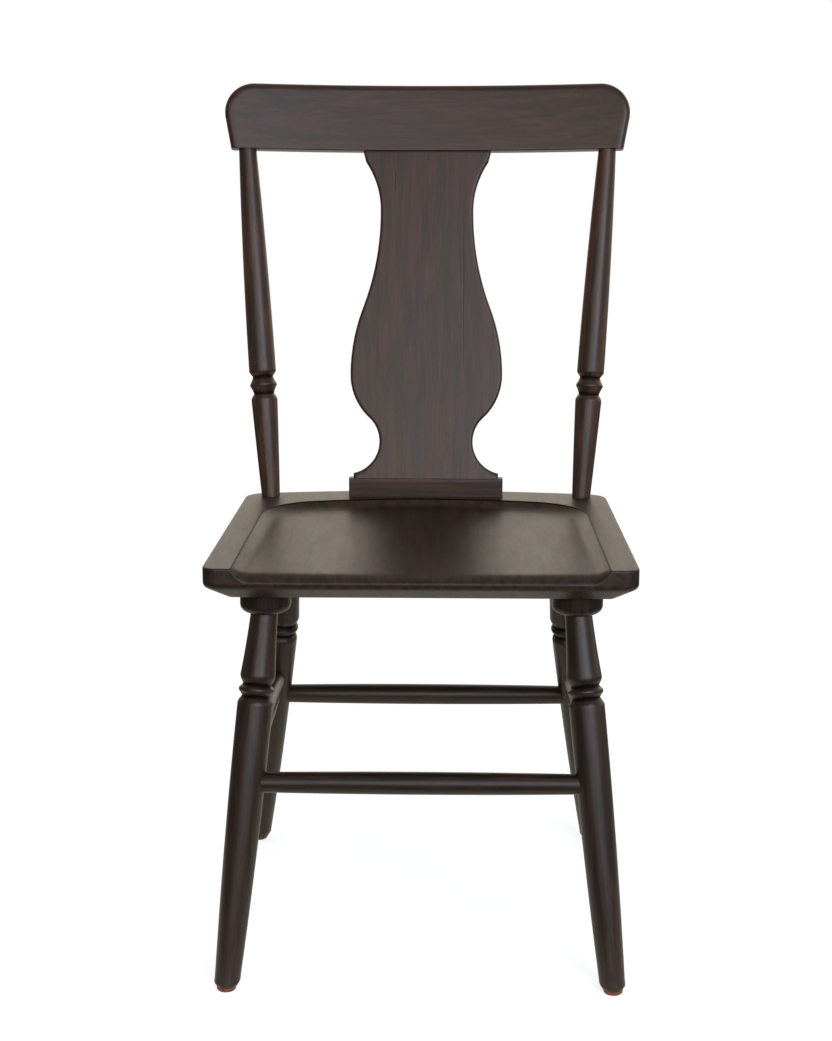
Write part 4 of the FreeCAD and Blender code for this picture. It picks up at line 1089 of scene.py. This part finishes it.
def back_splat(finish):
    """The urn-shaped board, with its long edges rounded over on both faces."""
    place, length = splat_place()
    outline = splat_half_outline(length)
    inner = np.linspace(-1, 1, SPLAT_FACE_COLUMNS)[1:-1]
    x = rows_between_edges(outline[:, 0], SPLAT_COLUMNS, inner)
    z = np.repeat(outline[:, 1][:, None], x.shape[1], axis=1)
    distance = outline_distance(np.abs(x), z, outline)
    fall = round_over(distance, SPLAT_EDGE_ROUND)
    face_y = SPLAT_THICKNESS / 2 - fall
    wear = edge_wear(distance, SPLAT_WEAR_WIDTH, SPLAT_WEAR)
    piece = board_piece("urn_splat", x, z, -face_y, face_y, wear, GRAIN_ALONG_Z, finish)
    piece.data.transform(place)
    return piece


def splat_shoe(finish):
    """The block on the seat's rear rim that holds the splat's foot."""
    half = SHOE_WIDTH / 2
    heights = [*SHOE_ROWS, *(SHOE_HEIGHT - SHOE_ROUND * (1 - np.sin(SHOE_ROUND_TURNS)))]
    x, z = np.meshgrid(from_edges(SHOE_COLUMNS, SHOE_SPACING, half), heights)
    distance = np.minimum(half - np.abs(x), SHOE_HEIGHT - z)
    fall = round_over(distance, SHOE_ROUND)
    front_y = SHOE_FRONT_Y + fall
    rear_y = SHOE_FRONT_Y + SHOE_THICKNESS - fall
    wear = edge_wear(distance, SHOE_ROUND, SHOE_WEAR)
    piece = board_piece("shoe_block", x, z, front_y, rear_y, wear, GRAIN_ALONG_X, finish, SHOE_GRAIN_SHIFT)
    piece.data.transform(seat_place())
    return piece


# Seat


class Plan:
    """The right half of a seat outline at one inset: front line, corner, tapered side, corner, rear arc."""

    def __init__(self, inset, front_y, rear_y, rear_arc, front_corner, rear_corner):
        side = np.array([-math.sin(SEAT_SIDE_TAPER), math.cos(SEAT_SIDE_TAPER)])
        self.outward = np.array([math.cos(SEAT_SIDE_TAPER), math.sin(SEAT_SIDE_TAPER)])
        start = np.array([SEAT_FRONT_WIDTH / 2, 0.0]) - self.outward * inset
        self.front_corner = front_corner
        self.rear_corner = rear_corner
        rounding = start - self.outward * front_corner
        self.front_centre = rounding + side * ((front_y + front_corner - rounding[1]) / side[1])
        self.rear_arc = rear_arc
        self.arc_centre = np.array([0.0, rear_y - rear_arc])
        offset = start - self.outward * rear_corner - self.arc_centre
        reach = rear_arc - rear_corner
        ahead = offset @ side
        travel = -ahead + math.sqrt(ahead ** 2 - offset @ offset + reach ** 2)
        self.rear_centre = start - self.outward * rear_corner + side * travel
        self.rear_outward = (self.rear_centre - self.arc_centre) / reach

    def loop(self):
        """Points round the whole outline, always the same number, starting at the middle of the front."""
        front_end = self.front_centre + [0.0, -self.front_corner]
        half = [np.array([front_end[0] * share, front_end[1]]) for share in FRONT_SHARES]
        half += self.corner(self.front_centre, self.front_corner, [0.0, -1.0], self.outward)
        side_start = self.front_centre + self.outward * self.front_corner
        side_end = self.rear_centre + self.outward * self.rear_corner
        side_shares = np.linspace(0, 1, SIDE_STEPS + 1)[1:]
        half += [side_start + (side_end - side_start) * share for share in side_shares]
        half += self.corner(self.rear_centre, self.rear_corner, self.outward, self.rear_outward)
        end_angle = math.atan2(self.rear_outward[0], self.rear_outward[1])
        for turn in end_angle * np.linspace(1, 0, REAR_STEPS + 1)[1:]:
            half.append(self.arc_centre + self.rear_arc * np.array([math.sin(turn), math.cos(turn)]))
        half = np.array(half)
        mirrored = half[1:-1][::-1] * [-1, 1]
        return np.concatenate([half, mirrored])

    @staticmethod
    def corner(centre, radius, first, last):
        """Points round a corner from one outward direction to another, leaving out the first."""
        first, last = np.array(first), np.array(last)
        turn = math.acos(first @ last)
        points = []
        for share in np.linspace(0, 1, CORNER_STEPS + 1)[1:]:
            blend = math.sin((1 - share) * turn) * first + math.sin(share * turn) * last
            points.append(centre + blend / math.sin(turn) * radius)
        return points

    def inside(self, x, y):
        """Distance inside the side, the rear corner and the rear arc; the front is open."""
        across = np.abs(x)
        from_centre = np.stack([across - self.rear_centre[0], y - self.rear_centre[1]], axis=-1)
        to_side = self.rear_corner - from_centre @ self.outward
        to_rear = self.rear_arc - np.hypot(across - self.arc_centre[0], y - self.arc_centre[1])
        to_corner = self.rear_corner - np.linalg.norm(from_centre, axis=-1)
        past_side = self.outward[0] * from_centre[..., 1] - self.outward[1] * from_centre[..., 0] > 0
        before_rear = (self.rear_outward[1] * from_centre[..., 0]
                       - self.rear_outward[0] * from_centre[..., 1]) > 0
        return np.where(past_side & before_rear, to_corner, np.minimum(to_side, to_rear))


def seat_plan(inset, front_corner, rear_corner):
    return Plan(inset, inset, SEAT_DEPTH - inset, SEAT_REAR_ARC - inset, front_corner, rear_corner)


def scoop_plan():
    rear_y = SEAT_DEPTH - RIM_REAR_WIDTH
    return Plan(RIM_WIDTH, -SEAT_BEVEL_WIDTH, rear_y, SCOOP_REAR_ARC, SEAT_BEVEL_CORNER, SCOOP_REAR_CORNER)


def scoop_depth(x, y, scoop):
    """How far the hollow lies below the rim: a cove from the rim's line, curved floor and rolled lip."""
    inside = scoop.inside(x, y)
    eased_edge = (inside + RIM_ARRIS) ** 2 / (4 * RIM_ARRIS)
    ramp = np.where(np.abs(inside) < RIM_ARRIS, eased_edge, np.maximum(inside, 0))
    rearward = np.clip(y / (SEAT_DEPTH - RIM_REAR_WIDTH), 0, 1) ** 2
    cove_width = COVE_FRONT_WIDTH + (COVE_REAR_WIDTH - COVE_FRONT_WIDTH) * rearward
    cove = 1 - (1 - np.clip(ramp / cove_width, 0, 1)) ** 2
    across = x / (SEAT_FRONT_WIDTH / 2)
    deepest = SCOOP_DEPTH - (SCOOP_DEPTH - SCOOP_SIDE_DEPTH) * across ** 2
    middle = (LIP_LENGTH + SEAT_DEPTH) / 2
    lengthwise = (y - middle) / (SEAT_DEPTH - middle)
    floor = deepest - SCOOP_CROWN * np.clip(lengthwise, -1, 1) ** 2
    roll = np.clip(1 - y / LIP_LENGTH, 0, 1) ** LIP_CURVE
    floor = floor + (LIP_DROP - deepest + SCOOP_CROWN) * roll
    return floor * cove


def rim_painted_shade(x, y, scoop):
    """Painted shade: a fine dark line just inside the rim's edge, where the scoop's edge casts a thin
    shadow.
    """
    off_line = (scoop.inside(x, y) - RIM_SHADE_INSET) / RIM_SHADE_REACH
    return -np.exp(-off_line ** 2)


def rim_crossings(centre, ends, scoop):
    """Where each ray from the middle of the seat crosses the scoop's line, as a share of its length."""
    low = np.zeros(len(ends))
    high = np.ones(len(ends))
    for _ in range(LINE_SEARCHES):
        middle = (low + high) / 2
        points = centre + (ends - centre) * middle[:, None]
        hollow = scoop.inside(points[:, 0], points[:, 1]) > 0
        low = np.where(hollow, middle, low)
        high = np.where(hollow, high, middle)
    return low


def seat_top_rings(centre, ends, scoop):
    """Rings over the seat's top from near its middle out, closer together at the scoop's line."""
    lengths = np.linalg.norm(ends - centre, axis=1)
    rays = (ends - centre) / lengths[:, None]
    crossing = np.minimum(rim_crossings(centre, ends, scoop) * lengths, lengths - EDGE_MARGIN)
    inner, outer = (scoop.inside(*(centre + rays * (crossing + step)[:, None]).T)
                    for step in (-SLOPE_PROBE, SLOPE_PROBE))
    slope = (inner - outer) / (2 * SLOPE_PROBE)
    slope = np.where(crossing > lengths - EDGE_MARGIN_REACHED, np.abs(rays[:, 1]), slope)
    oblique = 1 / np.clip(slope, STEEPEST_SLOPE, 1.0)
    first = crossing - COVE_RINGS[0] * oblique
    stations = [first * share for share in np.linspace(0, 1, FLOOR_RINGS + 2)[1:-1]]
    stations += [crossing - offset * oblique for offset in COVE_RINGS]
    room = RIM_RING_ROOM * (lengths - crossing)
    stations += [crossing + np.minimum(offset * oblique, room * offset / RIM_RINGS[-1])
                 for offset in RIM_RINGS]
    last = stations[-1]
    stations += [last + (lengths - last) * share for share in np.linspace(0, 1, FACE_RINGS + 1)[1:]]
    rings = []
    for station in stations:
        flat = centre + rays * station[:, None]
        depth = scoop_depth(flat[:, 0], flat[:, 1], scoop)
        rings.append(np.column_stack([flat, -depth]))
    return rings


def belly_inset(z):
    """How far the seat's side has drawn in at a height, down to where its underside bevel starts."""
    start = -SEAT_EDGE_HEIGHT + SEAT_BELLY_ROUND * math.tan(BEVEL_TURN / 2)
    fall = np.clip(start - z, 0, SEAT_BELLY_ROUND)
    return SEAT_BELLY_ROUND - np.sqrt(SEAT_BELLY_ROUND ** 2 - fall ** 2)


def rounded(start, corner, end, share):
    """A point along the round that leaves start and enters end as if both headed for the corner."""
    return (1 - share) ** 2 * start + 2 * share * (1 - share) * corner + share ** 2 * end


def seat_side_rings(centre, top_end, scoop):
    """Rings down the seat's side, round its belly, along the bevel and in under its bottom."""
    upper = seat_plan(0, SEAT_FRONT_CORNER, SEAT_REAR_CORNER).loop()
    lower = seat_plan(SEAT_BEVEL_WIDTH, SEAT_BEVEL_CORNER, SEAT_BEVEL_CORNER).loop()

    def at(inset, z):
        share = np.broadcast_to(np.asarray(inset / SEAT_BEVEL_WIDTH), len(upper))[:, None]
        flat = upper * (1 - share) + lower * share
        return np.column_stack([flat, np.broadcast_to(z, len(upper))])

    edge_z = -scoop_depth(upper[:, 0], upper[:, 1], scoop)
    drop = SEAT_TOP_ROUND * (1 - LIP_EDGE_SHARPENING * np.clip(-edge_z / LIP_DROP, 0, 1))
    corner = at(0.0, edge_z)
    start = at(belly_inset(edge_z - drop), edge_z - drop)
    rings = []
    for share in np.linspace(0, 1, ROUND_RINGS + 1)[1:]:
        rings.append(rounded(top_end, corner, start, share))
    run = np.array([SEAT_BEVEL_WIDTH, SEAT_EDGE_HEIGHT - SEAT_THICKNESS])
    along_bevel = run / np.linalg.norm(run)
    tangent = SEAT_BELLY_ROUND * math.tan(BEVEL_TURN / 2)
    belly_end = np.array([0.0, -SEAT_EDGE_HEIGHT]) + along_bevel * tangent
    first_z = edge_z - drop
    for share in np.linspace(0, 1, BELLY_RINGS + 1)[1:]:
        z = first_z + (belly_end[1] - first_z) * share
        rings.append(at(belly_inset(z), z))
    foot = np.array([SEAT_BEVEL_WIDTH, -SEAT_THICKNESS])
    reach = SEAT_BOTTOM_ROUND * math.tan((math.pi / 2 - BEVEL_TURN) / 2)
    bevel_end = foot - along_bevel * reach
    rings += [at(*(belly_end + (bevel_end - belly_end) * share)) for share in BEVEL_SHARES]
    bottom_start = foot + np.array([reach, 0.0])
    rings += [at(*rounded(bevel_end, foot, bottom_start, share)) for share in BOTTOM_ROUND_SHARES]
    bottoms = [(rings[-1][:, :2], BOTTOM_EDGE_SHARE)] + [(lower, share) for share in BOTTOM_SHARES]
    for outline, share in bottoms:
        flat = centre + (outline - centre) * share
        rings.append(np.column_stack([flat, np.full(len(lower), -SEAT_THICKNESS)]))
    return rings


def scooped_seat(finish):
    """The seat board as rings round its middle, from the scoop's floor over the rim to the underside."""
    scoop = scoop_plan()
    centre = np.array([0.0, SEAT_MIDDLE_SHARE * SEAT_DEPTH])
    inset_plan = seat_plan(SEAT_TOP_ROUND, SEAT_FRONT_CORNER - SEAT_TOP_ROUND,
                           SEAT_REAR_CORNER - SEAT_TOP_ROUND)
    rings = seat_top_rings(centre, inset_plan.loop(), scoop)
    top_count = len(rings)
    rings += seat_side_rings(centre, rings[-1], scoop)
    count = len(rings[0])
    points = np.concatenate(rings)
    faces = grid_faces(len(rings), count, 0, closed=True)
    top_depth = scoop_depth(np.array([centre[0]]), np.array([centre[1]]), scoop)[0]
    points = np.concatenate([points, [[*centre, -top_depth], [*centre, -SEAT_THICKNESS]]])
    last = (len(rings) - 1) * count
    for here in range(count):
        follow = (here + 1) % count
        faces.append((here, len(points) - 2, follow))
        faces.append((last + here, last + follow, len(points) - 1))
    # The rim's painted shade goes on the top rings only; the side and underside rings get none.
    wear_and_shade = rim_painted_shade(points[:, 0], points[:, 1], scoop)
    wear_and_shade[top_count * count:last + count] = 0.0
    piece = mesh_piece("scooped_seat", points, faces, points[:, GRAIN_ALONG_Y], wear_and_shade, finish)
    cut_screw_recesses(piece)
    piece.data.transform(seat_place())
    return piece


def cut_screw_recesses(seat):
    """Two round recesses under the seat, where the shoe's screws go in."""
    drills = bmesh.new()
    for side in SIDES.values():
        middle = (side * SCREW_X, SHOE_FRONT_Y + SHOE_THICKNESS / 2, -SEAT_THICKNESS)
        place = Matrix.Translation(middle)
        bmesh.ops.create_cone(drills, cap_ends=True, segments=RECESS_SIDES, radius1=SCREW_RECESS_RADIUS,
                              radius2=SCREW_RECESS_RADIUS, depth=2 * SCREW_RECESS_DEPTH, matrix=place)
    mesh = bpy.data.meshes.new("recess_drills")
    drills.to_mesh(mesh)
    drills.free()
    mesh.materials.append(seat.data.materials[0])
    cutter = in_scene("recess_drills", mesh)
    modifier = seat.modifiers.new("recesses", "BOOLEAN")
    modifier.object = cutter
    modifier.operation = "DIFFERENCE"
    modifier.solver = "EXACT"
    with_modifier_applied(seat, modifier)
    bpy.data.objects.remove(cutter)


# The whole chair


def settle(piece, node):
    """The piece rides on the chair's one body and stands for its node, with its corners shaded true."""
    soft_edges(piece.data)
    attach(piece, "root")
    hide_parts(node)


def make_legs(wood, plastic, tree):
    """Four legs with their bosses and glides, and the axes that the stretchers run between."""
    legs = {}
    for number, name in enumerate(("front_left", "front_right", "rear_left", "rear_right")):
        leg = Leg(name)
        legs[name] = leg
        piece = turned_piece("turned_leg_" + name, "leg", number, leg_turning(leg.length), wood, tree)
        piece.data.transform(along(leg.at_height(GLIDE_HEIGHT) - leg.up * LEG_BURIED, leg.up))
        saw_foot(piece.data, leg)
        settle(piece, "leg_" + name)
        boss = turned_piece("boss_disc_" + name, "boss", number, boss_turning(), wood, tree)
        boss.data.transform(Matrix.Translation(leg.boss) @ Matrix.Rotation(-SEAT_SLOPE, 4, "X"))
        settle(boss, "leg_boss_" + name)
        glide = turned_piece("glide_" + name, "glide", number, glide_turning(), plastic, tree)
        glide.data.transform(Matrix.Translation(leg.foot))
        settle(glide, "foot_glide_" + name)
    return legs


def make_stretchers(legs, wood, tree):
    """Round rails between the legs, at the heights of their nodes."""
    runs = [("front_stretcher", "front_left", "front_right"), ("rear_stretcher", "rear_left", "rear_right")]
    runs += [("side_stretcher_" + side, "front_" + side, "rear_" + side) for side in SIDES]
    for number, (node, first, second) in enumerate(runs):
        height = box_centre(node).z
        start = legs[first].at_height(height)
        span = legs[second].at_height(height) - start
        gap = LEG_BODY_RADIUS - STRETCHER_SOCKET
        turning = stretcher_turning(span.length - 2 * gap)
        piece = turned_piece("round_" + node, "stretcher", number, turning, wood, tree)
        piece.data.transform(along(start + span.normalized() * gap, span))
        settle(piece, node)


def make_posts(wood, tree):
    for number, (name, side) in enumerate(SIDES.items()):
        post = Post(side)
        piece = turned_piece("turned_post_" + name, "post", number, post_turning(), wood, tree)
        piece.data.transform(along(post.foot, post.up))
        settle(piece, "back_post_" + name)


# Small marks, each from one point of the wood's own space to another, with half its width
CREST_CHECKS = [((0.0, 0.019, -0.217), (0.0, 0.019, -0.204), 0.0006),
                ((0.0, 0.058, -0.008), (0.0, 0.058, 0.025), 0.0006),
                ((0.0, 0.039, 0.202), (0.0, 0.039, 0.225), 0.0006)]
SPLAT_STREAKS = [((0.0446, -0.006, 0.326), (0.0452, -0.006, 0.130), 0.0008),
                 ((-0.0394, -0.006, 0.375), (-0.0393, -0.006, 0.350), 0.0008)]
SEAT_CHECKS = [((-0.154, -0.0075, 0.284), (-0.147, -0.0085, 0.125), 0.0006),
               ((0.1425, 0.0, 0.392), (0.1425, 0.0, 0.398), 0.0009)]
SEAT_NICKS = [((-0.0246, -0.0093, 0.140), (-0.0246, -0.0093, 0.146), 0.0008),
              ((0.0168, -0.0093, 0.256), (0.0168, -0.0093, 0.260), 0.0007)]

# Where each cut's heart line lies beside the piece, and how plainly its figure shows
TURNED_HEART = (0.035, 0.060, 0.0)
POST_HEART = (0.045, 0.050, 0.0)
CREST_HEART = (0.10, 0.03, 0.0)
SPLAT_HEART = (0.02, -0.09, 0.0)
SEAT_HEART = (0.05, -0.12, 0.0)
POST_FIGURE = 0.7
BOARD_FIGURE = 0.6
SEAT_FIGURE = 0.8
SEAT_ROUGHNESS = 0.42


def make_woods():
    """The dark stains over five cuts of wood, with the small checks and nicks that show."""
    return {
        "turned": stained_wood("espresso_turned_wood", TURNED_HEART, TURNED_STAIN),
        "posts": stained_wood("espresso_post_wood", POST_HEART, POST_STAIN, figure=POST_FIGURE),
        "crest": stained_wood("espresso_crest_wood", CREST_HEART, BOARD_STAIN, CREST_CHECKS,
                              figure=BOARD_FIGURE),
        "splat": stained_wood("espresso_splat_wood", SPLAT_HEART, BOARD_STAIN, SPLAT_STREAKS,
                              figure=BOARD_FIGURE),
        "seat": stained_wood("espresso_seat_wood", SEAT_HEART, TURNED_STAIN, SEAT_CHECKS, SEAT_NICKS,
                             SEAT_FIGURE, SEAT_ROUGHNESS)}


def finish_fasteners(frame, steel):
    """The nails, brads and screws keep their own shapes and take a steel finish."""
    for node in ("glide_nails", "crest_brads", "shoe_screws"):
        data = frame["nodes"][node].data
        data.materials.clear()
        data.materials.append(steel)


# Studio

EVEN_LIGHT = 0.42
EVEN_TINT = (1.0, 0.96, 0.90)
PAPER_GLOW = 0.45
ROOM_IN_FRONT = 0.95
ROOM_BEHIND = 1.65
ROOM_OVERHEAD = 0.35
ROOM_ON_LEFT = 0.2
ROOM_ON_RIGHT = 0.75
BACKDROP_TINT = (1.0, 0.895, 0.755, 1.0)
ROOM_TINT = (1.0, 0.90, 0.84, 1.0)
PAPER = paint(236, 229, 214)
BARE_FLOOR = paint(112, 107, 98)
BLACK = (0.0, 0.0, 0.0, 1.0)
FLOOR_REACH = 6.0
FLOOR_ROUGHNESS = 0.9
PAPER_SIDES = (0.45, 1.1, 1.0, 0.0)
PAPER_FRONT = (-0.50, -0.32)

# Where in the room's directions its parts fade over, as the edges of each change
BEHIND_EDGES = (-0.1, 0.45)
OVERHEAD_EDGES = (0.35, 0.75)
LEFT_EDGES = (-0.70, -0.22)
RIGHT_EDGES = (0.4, 0.8)

# Lamps: place, width, height, watts and colour
LAMP_TARGET = (0, 0, 0.6)
LAMPS = {"window_light": ((1.25, -2.5, 1.5), 1.5, 1.5, 38.0, (0.70, 0.82, 1.0)),
         "front_light": ((-0.35, -3.0, 1.3), 1.6, 1.4, 16.0, (1.0, 0.93, 0.85))}


def make_camera():
    camera = bpy.data.cameras.new("photo_camera")
    camera.sensor_width = SENSOR
    camera.lens = SENSOR * FOCAL_PIXELS / PHOTO_HEIGHT
    holder = in_scene("photo_camera", camera)
    holder.location = CAMERA_PLACE
    holder.rotation_euler = (math.pi / 2 - CAMERA_PITCH, 0, -CAMERA_YAW)
    bpy.context.scene.camera = holder


def make_floor():
    """A pale floor that looks white in the picture and keeps the chair's soft shadow."""
    mesh = bpy.data.meshes.new("studio_floor")
    corners = [(x * FLOOR_REACH, y * FLOOR_REACH, 0) for x, y in ((-1, -1), (1, -1), (1, 1), (-1, 1))]
    mesh.from_pydata(corners, [], [(0, 1, 2, 3)])
    floor = in_scene("studio_floor", mesh)
    material, tree, shader = new_finish("pale_floor")
    position = tree.nodes.new("ShaderNodeTexCoord").outputs["Object"]
    place = add_node(tree, "ShaderNodeSeparateXYZ", {0: position})
    aside = math_node(tree, "ABSOLUTE", place.outputs["X"])
    papered = math_node(tree, "MULTIPLY", between(tree, aside, *PAPER_SIDES),
                        between(tree, place.outputs["Y"], *PAPER_FRONT))
    colour = mixed(tree, papered, BARE_FLOOR, PAPER)
    tree.links.new(colour, shader.inputs["Base Color"])
    shader.inputs["Roughness"].default_value = FLOOR_ROUGHNESS
    shader.inputs["Specular IOR Level"].default_value = 0.0
    paths = tree.nodes.new("ShaderNodeLightPath").outputs
    seen = math_node(tree, "MAXIMUM", paths["Is Camera Ray"], paths["Is Transmission Ray"])
    # What the floor's own colour lacks of white is made up for the camera, but not the shadow on it.
    lit_colour = vector_node(tree, "MULTIPLY", colour, tuple(EVEN_LIGHT * part for part in EVEN_TINT))
    missing = vector_node(tree, "SUBTRACT", WHITE, lit_colour)
    glowing = math_node(tree, "MULTIPLY", papered, PAPER_GLOW)
    mirrored = mixed(tree, glowing, BLACK, PAPER)
    tree.links.new(mixed(tree, seen, mirrored, missing), shader.inputs["Emission Color"])
    seen_or_mirrored = math_node(tree, "MAXIMUM", seen, paths["Is Glossy Ray"])
    tree.links.new(seen_or_mirrored, shader.inputs["Emission Strength"])
    mesh.materials.append(material)


def make_world():
    """Even light for the wood, a white backdrop for the camera, and the room that the lacquer mirrors."""
    world = bpy.data.worlds.new("studio")
    bpy.context.scene.world = world
    world.use_nodes = True
    tree = world.node_tree
    tree.nodes.clear()
    paths = tree.nodes.new("ShaderNodeLightPath").outputs
    seen = math_node(tree, "MAXIMUM", paths["Is Camera Ray"], paths["Is Transmission Ray"])
    direction = tree.nodes.new("ShaderNodeTexCoord").outputs["Generated"]
    parts = add_node(tree, "ShaderNodeSeparateXYZ", {0: direction}).outputs
    behind = between(tree, parts["Y"], *BEHIND_EDGES)
    overhead = between(tree, parts["Z"], *OVERHEAD_EDGES)
    level = between(tree, behind, 0.0, 1.0, ROOM_IN_FRONT, ROOM_BEHIND)
    for edges in ((*LEFT_EDGES, ROOM_ON_LEFT, 1.0), (*RIGHT_EDGES, 1.0, ROOM_ON_RIGHT)):
        level = math_node(tree, "MULTIPLY", level, between(tree, parts["X"], *edges))
    faded = math_node(tree, "SUBTRACT", 1.0, math_node(tree, "MULTIPLY", overhead, 1 - ROOM_OVERHEAD))
    level = math_node(tree, "MULTIPLY", level, faded)
    tint = mixed(tree, behind, ROOM_TINT, BACKDROP_TINT)
    mirrored = add_node(tree, "ShaderNodeBackground", {"Color": tint, "Strength": level})
    even = add_node(tree, "ShaderNodeBackground", {"Color": (*EVEN_TINT, 1.0), "Strength": EVEN_LIGHT})
    backdrop = add_node(tree, "ShaderNodeBackground", {"Color": (*WHITE, 1.0), "Strength": 1.0})
    first = add_node(tree, "ShaderNodeMixShader", {0: paths["Is Glossy Ray"], 1: even.outputs[0],
                                                   2: mirrored.outputs[0]})
    last = add_node(tree, "ShaderNodeMixShader", {0: seen, 1: first.outputs[0], 2: backdrop.outputs[0]})
    output = tree.nodes.new("ShaderNodeOutputWorld")
    tree.links.new(last.outputs[0], output.inputs["Surface"])


def soft_box(name, place, width, height, power, colour):
    lamp = bpy.data.lights.new(name, "AREA")
    lamp.shape = "RECTANGLE"
    lamp.size = width
    lamp.size_y = height
    lamp.energy = power
    lamp.color = colour
    holder = in_scene(name, lamp)
    holder.location = place
    holder.rotation_euler = (Vector(LAMP_TARGET) - Vector(place)).to_track_quat("-Z", "Y").to_euler()


def main():
    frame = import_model()
    make_camera()
    make_world()
    make_floor()
    for name, values in LAMPS.items():
        soft_box(name, *values)
    tree = turning_tree()
    woods = make_woods()
    legs = make_legs(woods["turned"], glide_plastic(), tree)
    make_stretchers(legs, woods["turned"], tree)
    make_posts(woods["posts"], tree)
    settle(crest_rail(woods["crest"]), "crest_rail")
    settle(back_splat(woods["splat"]), "back_splat")
    settle(splat_shoe(woods["crest"]), "splat_shoe")
    settle(scooped_seat(woods["seat"]), "seat")
    finish_fasteners(frame, zinc_steel())
    scene = bpy.context.scene
    scene.view_settings.view_transform = "Standard"


main()
